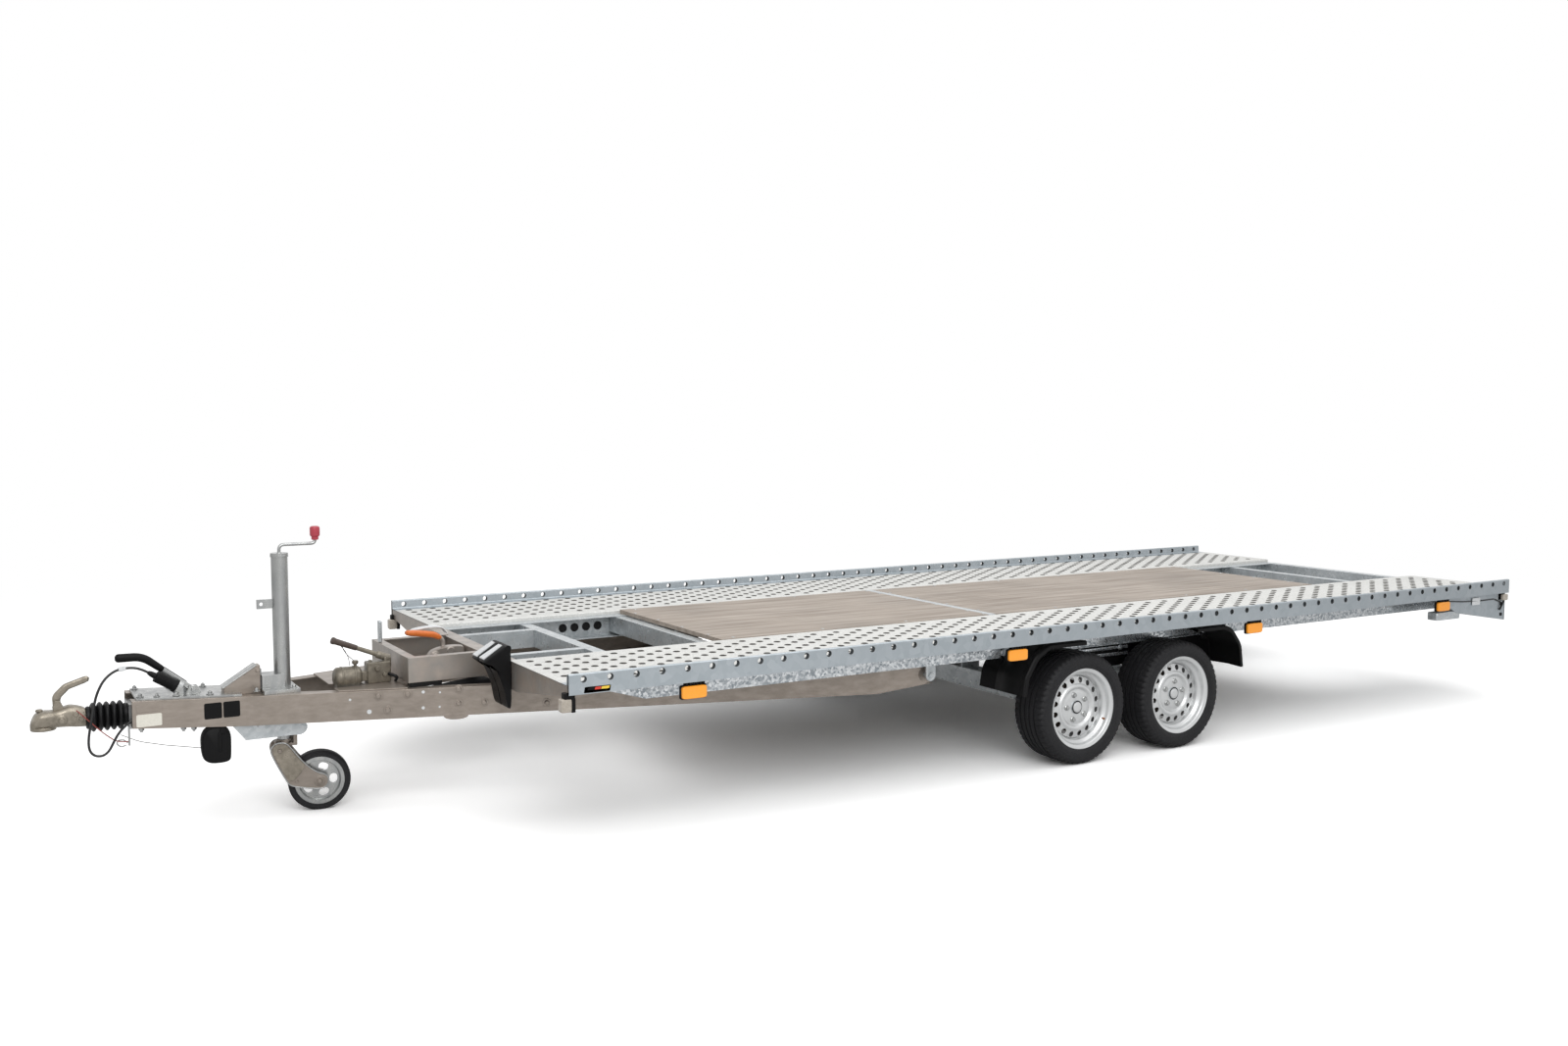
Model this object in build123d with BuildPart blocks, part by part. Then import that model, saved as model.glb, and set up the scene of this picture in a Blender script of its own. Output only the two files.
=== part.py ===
from build123d import *
from math import atan2, cos, hypot, radians, sin, tan
import os

# Car transporter trailer with a tilting platform, in millimetres.
# X points forward to the coupling, Y to the trailer's left and Z up. The origin is on the
# ground, at the middle of the overall length and width.

# ---- driving dimensions -------------------------------------------------------------------
platform_length = 5400.0
platform_width = 2200.0
coupling_reach = 1576.0  # from the platform's front edge to the coupling's nose

wheel_radius = 245.0
wheel_front = 2402.0  # front axle, behind the platform's front edge
tyre_gap = 100.0  # between the front and the rear tyre
tyre_clearance = 106.0  # from the tyres' tops to the deck's top
wheel_track = 1916.0
tyre_width = 195.0
rim_flange_radius = 175.0
rim_width = 175.0
disc_inset = 44.0  # from the rim's outer edge to the wheel disc
vent_count = 16
vent_circle = 120.0
vent_radius = 11.0
hub_bore = 60.0
fit_clearance = 0.1  # radial, at pins, hubs and slides
axle_tube = 84.0
trailing_arm = 150.0
axle_rise = 64.0  # of the axle tube above the wheel's centre

seat_gap = 0.3  # between pieces that are bolted or laid on each other
sheet = 3.0  # folded deck sheet
plank_width = 595.0
rail_height = 72.5
rail_rise = 38.0  # how far the side rail stands above the deck
rail_width = 18.0
rail_hole_radius = 11.0
rail_hole_pitch = 100.0
rail_hole_first = 54.0
rail_hole_rise = 18.0  # above the deck

plywood_thickness = 18.0
front_bay = 914.0  # open bay ahead of the plywood
front_panel = 1400.0
rear_bay = 846.0  # open bay behind the plywood
joint_strip_width = 38.0

beam_thickness = 4.0
main_beam_depth = 96.0
main_beam_flange = 75.0
lightening_hole = 17.0
sill_depth = 111.0
sill_flange = 60.0
sill_face = 925.0  # half the distance between the outer faces of the side sills
sill_front_start = 200.0
sill_wheel_room = 366.0  # from the front axle forward, and from the rear axle back
sill_taper = 170.0
end_gap = 60.0  # from the platform's ends to its lengthways beams
cross_depth = 80.0
cross_width = 50.0
first_cross = 419.0
bay_beam_offset = 282.0
end_beam_depth = 105.0
rear_plate = 6.0
rear_plate_depth = 180.0

nose_length = 307.0  # of the frame ahead of the platform
nose_half_width = 262.0
nose_depth = 96.0
nose_flange = 35.0

drawbar_gap = 5.0  # between the drawbar and the platform's frame above it
drawbar_depth = 110.0
drawbar_flange = 55.0
drawbar_nose_rise = 22.0  # the parallel front part climbs by this much
drawbar_nose_depth = 98.0
drawbar_nose_width = 240.0
drawbar_bend = 876.0  # ahead of the platform's front edge
drawbar_front = 1259.0
drawbar_tip_width = 1790.0
drawbar_tip = 1712.0  # behind the platform's front edge
drawbar_tip_taper = 250.0
hinge_setback = 1674.0
hinge_drop = 36.0  # from the drawbar's top to the tilt hinge
hinge_pin = 12.0
hinge_eye = 46.0

tow_drop = 43.0  # from the straight drawbar's top to the coupling's axis
tow_ball = 25.0  # radius
bellows_length = 143.0
bellows_folds = 5
bellows_radius = 53.0
brake_pivot_setback = 1044.0  # ahead of the platform's front edge
brake_side = 36.0
grip_radius = 15.0
cable_radius = 4.5
wire_radius = 2.0
plug_radius = 22.0
plug_length = 110.0

jack_setback = 726.0  # ahead of the platform's front edge
jack_side = 30.0
jack_tube_radius = 30.0
jack_tube_wall = 6.0
jack_tube_rise = 506.0  # of its top above the drawbar
jack_wheel_radius = 115.0
jack_wheel_width = 50.0
jack_rim_radius = 92.0
jack_trail = 124.0
jack_turn = 8.0  # degrees that the jack's wheel is swivelled as parked
jack_crown = 133.0  # from the wheel's centre up to the fork's crown
jack_spokes = 5
axle_radius = 8.0
crank_reach = 133.0

ram_base_reach = 250.0  # ahead of the platform's front edge
ram_eye_setback = 389.0
ram_radius = 26.0
ram_rod_radius = 14.0
ram_pin = 10.0
ram_barrel_length = 470.0
ram_lug_gap = 26.0
ram_lug_thickness = 6.0

guard_clearance = 56.0  # from the tyres' tops to the mudguards' tops
guard_inner = 868.0
guard_outer = 1062.0

latch_side = -50.0
latch_body_face = 2.0
latch_width = 44.0
latch_bend = 14.0
latch_grip_radius = 13.0
chock_side = 465.0  # middle of the pair
chock_width = 72.0
chock_gap = 3.0  # of each chock from the middle of the pair
chock_height = 228.0
chock_rise = 46.0  # above the deck
chock_depth = 105.0
chock_eye = 12.0
lamp_length = 104.0
lamp_height = 50.0
lamp_drop = 88.0  # from the deck's underside to the side lamps' bottom
lamp_bracket = 76.0
lamp_inner = 1068.0  # the amber lamps' faces, from the trailer's middle
lamp_outer = 1091.0
front_lamp_depth = 54.0
front_lamp_width = 37.0
rear_lamp_length = 190.0
rear_lamp_height = 66.0
rear_lamp_depth = 40.0

spreader_width = 60.0
spreader_front_reach = 330.0  # ahead of the platform's front edge
pump_reach = 354.0
pump_side = 100.0
pump_plate = 5.0
reservoir_radius = 40.0
lug_thickness = 8.0
lug_gap = 14.0
cable_guard_width = 30.0
brake_ear = 5.0
brake_ear_gap = 9.0  # from the lever's middle to each ear
brake_pin = 6.0
brake_bend_radius = 60.0
lever_radius = 8.0
strut_side = 8.0
strut_radius = 11.0
handle_half_width = 14.0
bellows_cuff = 12.0
wire_start = (3344.0, 60.0, 476.0)
wire_end = (3180.0, 60.0, 345.0)
guide_side = 103.0
guide_wall = 6.0

# ---- worked out from the driving dimensions -----------------------------------------------
front_edge = (platform_length + coupling_reach) / 2 - coupling_reach
rear_edge = front_edge - platform_length
half_width = platform_width / 2
wheel_rear = wheel_front + 2 * wheel_radius + tyre_gap
deck_height = 2 * wheel_radius + tyre_clearance
deck_under = deck_height - sheet
frame_top = deck_height - plywood_thickness
plank_inner = half_width - plank_width
web_face = plank_inner + sheet  # outer face of the main beams
main_beam_bottom = frame_top - main_beam_depth
sill_bottom = deck_under - sill_depth
drawbar_top = sill_bottom - drawbar_gap
drawbar_bottom = drawbar_top - drawbar_depth
nose_top = drawbar_top + drawbar_nose_rise
hinge_x = front_edge - hinge_setback
hinge_z = drawbar_top - hinge_drop
jack_x = front_edge + jack_setback
tow_height = drawbar_top - tow_drop
plywood_end = platform_length - rear_bay
side_lamp_stations = (488.0, wheel_front - 405, wheel_rear + 436, platform_length - 543)
rear_lamp_side = half_width - 160
rear_lamp_level = deck_under - 130
wire_way = Vector(-33, 0, -36).normalized()
ferrule_start = Vector(*wire_start) - wire_way * 12


def behind(distance):
    """X of a station so far behind the platform's front edge."""
    return front_edge - distance


def channel(x_start, x_end, top, depth, face, flange, thickness=beam_thickness):
    """C-section beam along X: its web's outer face at Y = face, its flanges towards the middle."""
    with BuildPart() as beam:
        with BuildSketch(Plane.YZ.offset(x_end)):
            with BuildLine():
                Polyline(
                    (face - flange, top),
                    (face, top),
                    (face, top - depth),
                    (face - flange, top - depth),
                )
                offset(amount=thickness, side=Side.RIGHT, kind=Kind.INTERSECTION)
            make_face()
        extrude(amount=x_start - x_end)
    return beam.part


def block(x, y, z):
    """Plain box between two corners, each axis given as a (low, high) pair."""
    with BuildPart() as box:
        with BuildSketch(Plane.XY.offset(z[0])):
            with Locations(((x[0] + x[1]) / 2, (y[0] + y[1]) / 2)):
                Rectangle(x[1] - x[0], y[1] - y[0])
        extrude(amount=z[1] - z[0])
    return box.part


def rod(start, end, radius, bore=0.0):
    """Round bar or tube between two points."""
    axis = Vector(*end) - Vector(*start)
    with BuildPart() as bar:
        with BuildSketch(Plane(origin=start, z_dir=axis)):
            Circle(radius)
            if bore:
                Circle(bore, mode=Mode.SUBTRACT)
        extrude(amount=axis.length)
    return bar.part


def bent_rod(points, bends, radius):
    """Round bar along straight runs joined by arcs: one bend radius, or a list of them."""
    with BuildPart() as bar:
        with BuildLine() as path:
            FilletPolyline(*points, radius=bends)
        with BuildSketch(Plane(origin=path.line @ 0, z_dir=path.line % 0)):
            Circle(radius)
        sweep()
    return bar.part


def side_plate(outline, face, thickness):
    """Flat plate upright along X, from its outer face at Y = face inwards by its thickness."""
    with BuildPart() as plate:
        with BuildSketch(Plane.XZ.offset(-face)):
            with BuildLine():
                Polyline(outline, close=True)
            make_face()
        extrude(amount=thickness if face > 0 else -thickness)
    return plate.part


def cord_bends(points):
    """Radius at each corner: 0.45 of the shorter run beside it, over the tangent of half the turn."""
    radii = []
    for before, corner, after in zip(points, points[1:], points[2:]):
        run_in = Vector(*corner) - Vector(*before)
        run_out = Vector(*after) - Vector(*corner)
        half_turn = radians(run_in.get_angle(run_out)) / 2
        radii.append(0.45 * min(run_in.length, run_out.length) / tan(half_turn))
    return radii


def save(piece, name):
    piece.part.label = name
    export_step(piece.part, f"parts/{name}.step")


os.makedirs("parts", exist_ok=True)

# ---- deck -----------------------------------------------------------------------------------
plank_profile = (
    (half_width - sheet, deck_height + rail_rise - rail_height),
    (half_width - sheet, deck_height + rail_rise - sheet),
    (half_width - rail_width, deck_height + rail_rise - sheet),
    (half_width - rail_width - sheet, deck_under),
    (plank_inner + sheet, deck_under),
    (plank_inner + sheet, frame_top),
)
rail_holes = int((platform_length - rail_hole_first) // rail_hole_pitch) + 1
for side, name in ((1, "plank_left"), (-1, "plank_right")):
    with BuildPart() as plank:
        with BuildSketch(Plane.YZ.offset(rear_edge)):
            with BuildLine():
                Polyline([(side * y, z) for y, z in plank_profile])
                offset(
                    amount=sheet,
                    side=Side.RIGHT if side > 0 else Side.LEFT,
                    kind=Kind.INTERSECTION,
                )
            make_face()
        extrude(amount=platform_length)
        # lashing holes, through both walls of the side rail
        with BuildSketch(Plane.XZ.offset(-side * (half_width + 1))):
            middle = behind(rail_hole_first + rail_hole_pitch * (rail_holes - 1) / 2)
            with Locations((middle, deck_height + rail_hole_rise)):
                with GridLocations(rail_hole_pitch, 0, rail_holes, 1):
                    Circle(rail_hole_radius)
        extrude(amount=side * (rail_width + 3 * sheet), mode=Mode.SUBTRACT)
    save(plank, name)

panel_half = plank_inner - 1
for name, start, end in (
    ("plywood_front", front_bay, front_bay + front_panel),
    ("plywood_strip", front_bay + front_panel + 1, front_bay + front_panel + joint_strip_width + 1),
    ("plywood_rear", front_bay + front_panel + joint_strip_width + 2, plywood_end),
):
    with BuildPart() as panel:
        add(block((behind(end), behind(start)), (-panel_half, panel_half), (frame_top, deck_height)))
    save(panel, name)

# ---- platform frame --------------------------------------------------------------------------
front_cross = front_bay - 30
joint_cross = front_bay + front_panel + joint_strip_width / 2
axle_cross = wheel_rear + 488
end_cross = plywood_end - 19
cross_stations = (
    first_cross,
    front_cross,
    (front_cross + joint_cross) / 2 - 210,
    joint_cross,
    axle_cross,
    (axle_cross + end_cross) / 2,
    end_cross,
    platform_length - 400,
)
with BuildPart() as main_beams:
    add(
        channel(
            behind(end_gap), rear_edge + end_gap, frame_top, main_beam_depth, web_face, main_beam_flange
        )
    )
    # lightening holes in the web beside the open bay
    with BuildSketch(Plane.XZ.offset(-web_face - 1)):
        with Locations((behind((first_cross + front_cross) / 2 + 60), frame_top - main_beam_depth / 2)):
            with GridLocations(3.4 * lightening_hole, 0, 4, 1):
                Circle(lightening_hole)
    extrude(amount=beam_thickness + 2, mode=Mode.SUBTRACT)
    mirror(about=Plane.XZ)
save(main_beams, "main_beams")

with BuildPart() as side_sills:
    add(
        channel(
            behind(sill_front_start),
            behind(wheel_front - sill_wheel_room),
            deck_under,
            sill_depth,
            sill_face,
            sill_flange,
        )
    )
    with BuildSketch(Plane.XZ.offset(-sill_face)):
        with BuildLine():
            Polyline(
                (behind(sill_front_start), sill_bottom),
                (behind(sill_front_start), sill_bottom + 0.45 * sill_depth),
                (behind(sill_front_start + sill_taper), sill_bottom),
                close=True,
            )
        make_face()
    extrude(amount=sill_flange, mode=Mode.SUBTRACT)
    add(
        channel(
            behind(wheel_rear + sill_wheel_room + 54),
            rear_edge + end_gap,
            deck_under,
            sill_depth,
            sill_face,
            sill_flange,
        )
    )
    mirror(about=Plane.XZ)
save(side_sills, "side_sills")

member_reach = plank_inner - beam_thickness - 1
member_top = frame_top - beam_thickness - 0.2
member_bottom = frame_top - 1 - cross_depth
with BuildPart() as cross_members:
    for station in cross_stations:
        with BuildSketch(Plane.XZ.offset(-member_reach)):
            with BuildLine():
                Polyline(
                    (behind(station) + cross_width / 2, member_bottom),
                    (behind(station) + cross_width / 2, member_top),
                    (behind(station) - cross_width / 2, member_top),
                    (behind(station) - cross_width / 2, member_bottom),
                )
                offset(amount=beam_thickness, side=Side.LEFT, kind=Kind.INTERSECTION)
            make_face()
        extrude(amount=2 * member_reach)
    # short beams from the front beam back to the first cross member
    for side in (1, -1):
        add(
            block(
                (behind(first_cross) + cross_width / 2 + seat_gap, behind(end_gap) - seat_gap),
                sorted((side * (bay_beam_offset - 20), side * (bay_beam_offset + 20))),
                (member_bottom, member_top),
            )
        )
save(cross_members, "cross_members")

outrigger_stations = [s for s in cross_stations if abs(s - joint_cross) > 1] + [hinge_setback]
with BuildPart() as outriggers:
    for station in outrigger_stations:
        add(
            block(
                (behind(station) - cross_width / 2, behind(station) + cross_width / 2),
                (web_face + 0.2, sill_face - sill_flange - 0.2),
                (frame_top - cross_depth, deck_under),
            )
        )
    mirror(about=Plane.XZ)
save(outriggers, "outriggers")

# end beams: their top carries the planks and steps down between the planks' inner lips
beam_end = half_width - rail_width - sheet
lip_step = web_face + seat_gap
beam_top = (
    (-beam_end, deck_under),
    (-lip_step, deck_under),
    (-lip_step, frame_top - 0.2),
    (lip_step, frame_top - 0.2),
    (lip_step, deck_under),
    (beam_end, deck_under),
)
end_beam_bottom = deck_under - end_beam_depth
with BuildPart() as front_beam:
    with BuildSketch(Plane.YZ.offset(front_edge)):
        with BuildLine():
            Polyline(
                *beam_top,
                (beam_end, deck_under - 38),
                (half_width - 500, end_beam_bottom),
                (-half_width + 500, end_beam_bottom),
                (-beam_end, deck_under - 38),
                close=True,
            )
        make_face()
    extrude(amount=seat_gap - end_gap)
save(front_beam, "front_beam")

plate_bottom = deck_under - rear_plate_depth
with BuildPart() as rear_beam:
    # end plate: deep at both corners, where it carries the lamps
    with BuildSketch(Plane.YZ.offset(rear_edge)):
        with BuildLine():
            Polyline(
                *beam_top,
                (beam_end, plate_bottom),
                (half_width - 320, plate_bottom),
                (half_width - 420, end_beam_bottom),
                (-half_width + 420, end_beam_bottom),
                (-half_width + 320, plate_bottom),
                (-beam_end, plate_bottom),
                close=True,
            )
        make_face()
        for side in (1, -1):
            with Locations((side * rear_lamp_side, rear_lamp_level)):
                Rectangle(
                    rear_lamp_length + 2 * seat_gap, rear_lamp_height + 2 * seat_gap, mode=Mode.SUBTRACT
                )
    extrude(amount=rear_plate)
    with BuildSketch(Plane.YZ.offset(rear_edge + rear_plate)):
        with BuildLine():
            Polyline(*beam_top, (beam_end, deck_under - 70), (-beam_end, deck_under - 70), close=True)
        make_face()
    extrude(amount=end_gap - rear_plate - seat_gap)
save(rear_beam, "rear_beam")

# frame ahead of the platform: a folded channel round three sides, open above and below
nose_front = front_edge + nose_length + 4
nose_bottom = drawbar_top + 18
nose_back = front_edge + seat_gap
nose_levels = (
    (nose_bottom, beam_thickness, nose_flange),
    (nose_bottom + beam_thickness, nose_depth - 2 * beam_thickness, beam_thickness),
    (nose_bottom + nose_depth - beam_thickness, beam_thickness, nose_flange),
)
with BuildPart() as nose_frame:
    for level, height, wall in nose_levels:
        with BuildSketch(Plane.XY.offset(level)):
            with Locations(((nose_front + nose_back) / 2, 0)):
                Rectangle(nose_front - nose_back, 2 * nose_half_width)
            with Locations(((nose_front - wall + nose_back - 1) / 2, 0)):
                Rectangle(nose_front - wall - nose_back + 1, 2 * (nose_half_width - wall), mode=Mode.SUBTRACT)
        extrude(amount=height)
save(nose_frame, "nose_frame")

with BuildPart() as rubber_pads:
    for side in (1, -1):
        add(
            block(
                (front_edge + 180, nose_front - 8),
                sorted((side * (nose_half_width - 4), side * (nose_half_width - nose_flange - 4))),
                (drawbar_top + 0.5, nose_bottom),
            )
        )
save(rubber_pads, "rubber_pads")

# latch that locks the platform down: a cast body on the front beam with a grip along its top
latch_top = nose_bottom + nose_depth
latch_outline = (
    (front_edge + seat_gap, latch_top - 70),
    (front_edge + seat_gap, latch_top - 20),
    (front_edge + 60, latch_top - 4),
    (front_edge + 150, latch_top + 8),
    (front_edge + 185, latch_top - 20),
    (front_edge + 120, latch_top - 60),
)
with BuildPart() as platform_latch:
    add(side_plate(latch_outline, latch_body_face, latch_width))
    add(
        bent_rod(
            (
                (front_edge + 80, latch_side, latch_top - 20),
                (front_edge + 84, latch_side, latch_top + 22),
                (front_edge + 130, latch_side, latch_top + 36),
                (front_edge + 232, latch_side, latch_top + 50),
            ),
            latch_bend,
            latch_grip_radius,
        )
    )
save(platform_latch, "platform_latch")

# wheel chocks stowed on end against the front beam, outside the drawbar
chock_top = deck_height + chock_rise
with BuildPart() as wheel_chocks:
    for side in (-1, 1):
        middle = chock_side + side * (chock_width / 2 + chock_gap)
        with BuildSketch(Plane.XZ.offset(-middle - chock_width / 2)):
            with BuildLine():
                Polyline(
                    (front_edge + 18, chock_top - chock_height),
                    (front_edge + seat_gap, chock_top - chock_height),
                    (front_edge + seat_gap, chock_top),
                    (front_edge + chock_depth, chock_top - 80),
                )
                ThreePointArc(
                    (front_edge + chock_depth, chock_top - 80),
                    (front_edge + 44, chock_top - 150),
                    (front_edge + 18, chock_top - chock_height),
                )
            make_face()
        extrude(amount=chock_width)
        # lifting eye at the top
        with BuildSketch(Plane.XZ.offset(-middle - chock_eye)):
            with Locations((front_edge + chock_eye + 1, chock_top + 2)):
                Circle(chock_eye)
                Circle(chock_eye / 2, mode=Mode.SUBTRACT)
        extrude(amount=2 * chock_eye)
save(wheel_chocks, "wheel_chocks")

# lamps with their brackets: amber along both sides, white under the front corners and red
# ones set in the end plate
lamp_bottom = deck_under - lamp_drop
window = (rear_lamp_length, rear_lamp_height)
with BuildPart() as marker_lamps:
    for station in side_lamp_stations:
        x = behind(station)
        add(
            block(
                (x - lamp_bracket / 2, x + lamp_bracket / 2),
                (lamp_inner - beam_thickness, lamp_inner),
                (lamp_bottom, deck_under - seat_gap),
            )
        )
        add(
            block(
                (x - lamp_length / 2, x + lamp_length / 2),
                (lamp_inner, lamp_outer),
                (lamp_bottom, lamp_bottom + lamp_height),
            )
        )
    add(
        block(
            (front_edge + seat_gap, front_edge + beam_thickness),
            (lamp_outer - 50, beam_end),
            (lamp_bottom + 15, deck_under - seat_gap),
        )
    )
    add(
        block(
            (front_edge + beam_thickness, front_edge + front_lamp_depth),
            (lamp_outer - front_lamp_width, lamp_outer),
            (lamp_bottom + 15, lamp_bottom + 15 + lamp_height),
        )
    )
    add(
        block(
            (rear_edge + 1, rear_edge + rear_plate + rear_lamp_depth),
            (rear_lamp_side - window[0] / 2, rear_lamp_side + window[0] / 2),
            (rear_lamp_level - window[1] / 2, rear_lamp_level + window[1] / 2),
        )
    )
    # flange that holds the rear lamp against the end plate
    add(
        block(
            (rear_edge + rear_plate + seat_gap, rear_edge + rear_plate + beam_thickness),
            (rear_lamp_side - window[0] / 2 - 8, rear_lamp_side + window[0] / 2 + 8),
            (rear_lamp_level - window[1] / 2 - 8, rear_lamp_level + window[1] / 2 + 8),
        )
    )
    mirror(about=Plane.XZ)
save(marker_lamps, "marker_lamps")

# ---- drawbar ---------------------------------------------------------------------------------
nose_half = drawbar_nose_width / 2
tip_half = drawbar_tip_width / 2
splay = (tip_half - nose_half) / (drawbar_bend + drawbar_tip)
eye_face = tip_half - splay * (drawbar_tip - hinge_setback)
bend_x = front_edge + drawbar_bend
tip_x = behind(drawbar_tip)
front_x = front_edge + drawbar_front
past = 1.0  # how far a cut runs past the face it opens
nose_foot = nose_top - drawbar_nose_depth


def beam_half_width(x):
    """Half the width over the drawbar's beams at X."""
    return nose_half + splay * max(bend_x - x, 0)


def nose_level(x, start, end):
    """Height at X of a line that runs from the drawbar's bend to its front."""
    return start + (end - start) * (x - bend_x) / (front_x - bend_x)


def beam_plan(side, outer, inner, reach):
    """Plan of a beam between two offsets inwards from its outer face, so far past its ends."""
    return (
        (tip_x - reach, side * (tip_half - outer)),
        (bend_x, side * (nose_half - outer)),
        (front_x + reach, side * (nose_half - outer)),
        (front_x + reach, side * (nose_half - inner)),
        (bend_x, side * (nose_half - inner)),
        (tip_x - reach, side * (tip_half - inner)),
    )


def beam_side(wall, reach):
    """Side view of a beam, in from its top and bottom by a wall, so far past its ends."""
    return (
        (tip_x - reach, drawbar_top - wall),
        (bend_x, drawbar_top - wall),
        (front_x + reach, nose_top - wall),
        (front_x + reach, nose_foot + wall),
        (bend_x, drawbar_bottom + wall),
        (tip_x - reach, drawbar_bottom + wall),
    )


def beam_body(plan, view):
    """Body with the given plan and the given side view."""
    with BuildPart() as body:
        with BuildSketch(Plane.XY.offset(drawbar_bottom - past)):
            with BuildLine():
                Polyline(plan, close=True)
            make_face()
        extrude(amount=nose_top - drawbar_bottom + 2 * past)
        with BuildSketch(Plane.XZ):
            with BuildLine():
                Polyline(view, close=True)
            make_face()
        extrude(amount=platform_width, both=True, mode=Mode.INTERSECT)
    return body.part


for side, name in ((1, "drawbar_beam_left"), (-1, "drawbar_beam_right")):
    with BuildPart() as drawbar_beam:
        add(beam_body(beam_plan(side, 0, drawbar_flange, 0), beam_side(0, 0)))
        # the space inside the C, open towards the middle
        add(
            beam_body(
                beam_plan(side, beam_thickness, drawbar_flange + past, past),
                beam_side(beam_thickness, past),
            ),
            mode=Mode.SUBTRACT,
        )
        with BuildSketch(Plane.XZ):
            # the taper under the tip
            with BuildLine():
                Polyline(
                    (tip_x - past, drawbar_bottom - past),
                    (tip_x + drawbar_tip_taper, drawbar_bottom - past),
                    (tip_x, drawbar_top - 2 * hinge_drop),
                    (tip_x - past, drawbar_top - 2 * hinge_drop),
                    close=True,
                )
            make_face()
            # behind the hinge the tip is rounded about its pin
            with Locations(((tip_x + hinge_x) / 2 - past, hinge_z)):
                Rectangle(hinge_x - tip_x + 2 * past, 2 * hinge_drop + 2 * past)
            with Locations((hinge_x, hinge_z)):
                Circle(hinge_drop, mode=Mode.SUBTRACT)
        extrude(amount=platform_width, both=True, mode=Mode.SUBTRACT)
        # solid eye in the tip, bored for the hinge pin
        with BuildSketch(Plane.XZ.offset(-side * (eye_face - hinge_eye))):
            with Locations((hinge_x, hinge_z)):
                Circle(hinge_drop - beam_thickness)
        extrude(amount=-side * (hinge_eye - beam_thickness))
        with BuildSketch(Plane.XZ):
            with Locations((hinge_x, hinge_z)):
                Circle(hinge_pin + fit_clearance)
        extrude(amount=platform_width, both=True, mode=Mode.SUBTRACT)
    save(drawbar_beam, name)

spreader_bottom = drawbar_bottom + beam_thickness + 0.2
plate_back = front_edge + pump_reach - 34
plate_front = front_edge + pump_reach + 206
reservoir_x = (front_edge + pump_reach + 106, front_edge + pump_reach + 188)
with BuildPart() as drawbar_spreaders:
    for station in (-spreader_front_reach, 520.0, 1250.0):
        x = behind(station)
        reach = beam_half_width(x) - beam_thickness - 12
        add(
            block(
                (x - spreader_width / 2, x + spreader_width / 2),
                (-reach, reach),
                (spreader_bottom, spreader_bottom + spreader_width),
            )
        )
    # flat plate across the tops of the beams, which carries the hand pump
    with BuildSketch(Plane.XY.offset(drawbar_top + seat_gap)):
        with BuildLine():
            corners = [
                (x, side * (beam_half_width(x) - 8))
                for x, side in ((plate_front, 1), (plate_back, 1), (plate_back, -1), (plate_front, -1))
            ]
            Polyline(corners, close=True)
        make_face()
        # slot that the pump's reservoir hangs in
        with Locations(((reservoir_x[0] - 12 + plate_front) / 2, pump_side)):
            Rectangle(plate_front - reservoir_x[0] + 12, 2 * reservoir_radius + 4, mode=Mode.SUBTRACT)
    extrude(amount=pump_plate)
save(drawbar_spreaders, "drawbar_spreaders")

# tilt hinges: a pin through each drawbar tip, held by a lug on each side of it
lug_outer = sill_face - lug_thickness
lug_inner = eye_face - drawbar_flange - lug_gap
with BuildPart() as hinge_lugs:
    for face, top in ((lug_outer, sill_bottom), (lug_inner, frame_top - cross_depth)):
        with BuildSketch(Plane.XZ.offset(-face)):
            with Locations((hinge_x, hinge_z)):
                Circle(2 * hinge_pin)
            with Locations((hinge_x, (hinge_z + top) / 2)):
                Rectangle(4 * hinge_pin, top - hinge_z)
        extrude(amount=lug_thickness)
    add(
        rod(
            (hinge_x, lug_outer + beam_thickness, hinge_z),
            (hinge_x, lug_inner - lug_thickness - 6, hinge_z),
            hinge_pin,
        )
    )
    mirror(about=Plane.XZ)
save(hinge_lugs, "hinge_lugs")

# moulded cable guard under the left beam
guard_foot = drawbar_bottom - 129
guard_x = (bend_x + 51, bend_x + 157)
with BuildPart() as cable_guard:
    add(
        side_plate(
            (
                (guard_x[0], guard_foot + 26),
                (guard_x[0], nose_level(guard_x[0], drawbar_bottom, nose_foot) - seat_gap),
                (guard_x[1], nose_level(guard_x[1], drawbar_bottom, nose_foot) - seat_gap),
                (guard_x[1], guard_foot + 40),
                (guard_x[1] - 60, guard_foot),
                (guard_x[0] + 24, guard_foot + 4),
            ),
            nose_half - 6,
            cable_guard_width,
        )
    )
save(cable_guard, "cable_guard")

# ---- coupling, overrun device and hand brake --------------------------------------------------
housing_start = front_x + 4
housing_end = bend_x - 30
housing_half = nose_half - drawbar_flange - seat_gap
plate_ends = (housing_end + 40, housing_start - 20)
plate_rises = [nose_level(x, drawbar_top, nose_top) for x in plate_ends]
brake_pivot = Vector(front_edge + brake_pivot_setback, brake_side, drawbar_top + 32)
brake_bend = Vector(brake_pivot.X + 167, brake_side, brake_pivot.Z + 135)
brake_grip = brake_pivot + (brake_bend - brake_pivot) * 0.63
brake_tip = Vector(brake_bend.X + 90, brake_side, brake_bend.Z + 1)
strut_way = (brake_bend - brake_pivot).normalized()
strut_start = Vector(brake_pivot.X, strut_side, brake_pivot.Z) + strut_way * 32
strut_end = strut_start + strut_way * 92
strut_across = Vector(-strut_way.Z, 0, strut_way.X)
plate_top = nose_level(brake_pivot.X, drawbar_top, nose_top) + 8
plug_way = Vector(-0.842, 0, -0.540)
plug_start = Vector(3109, 66, 590)
socket_start = plug_start + plug_way * (plug_length + seat_gap)
gland_end = (3122.0, 90.0, 430.0)
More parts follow.
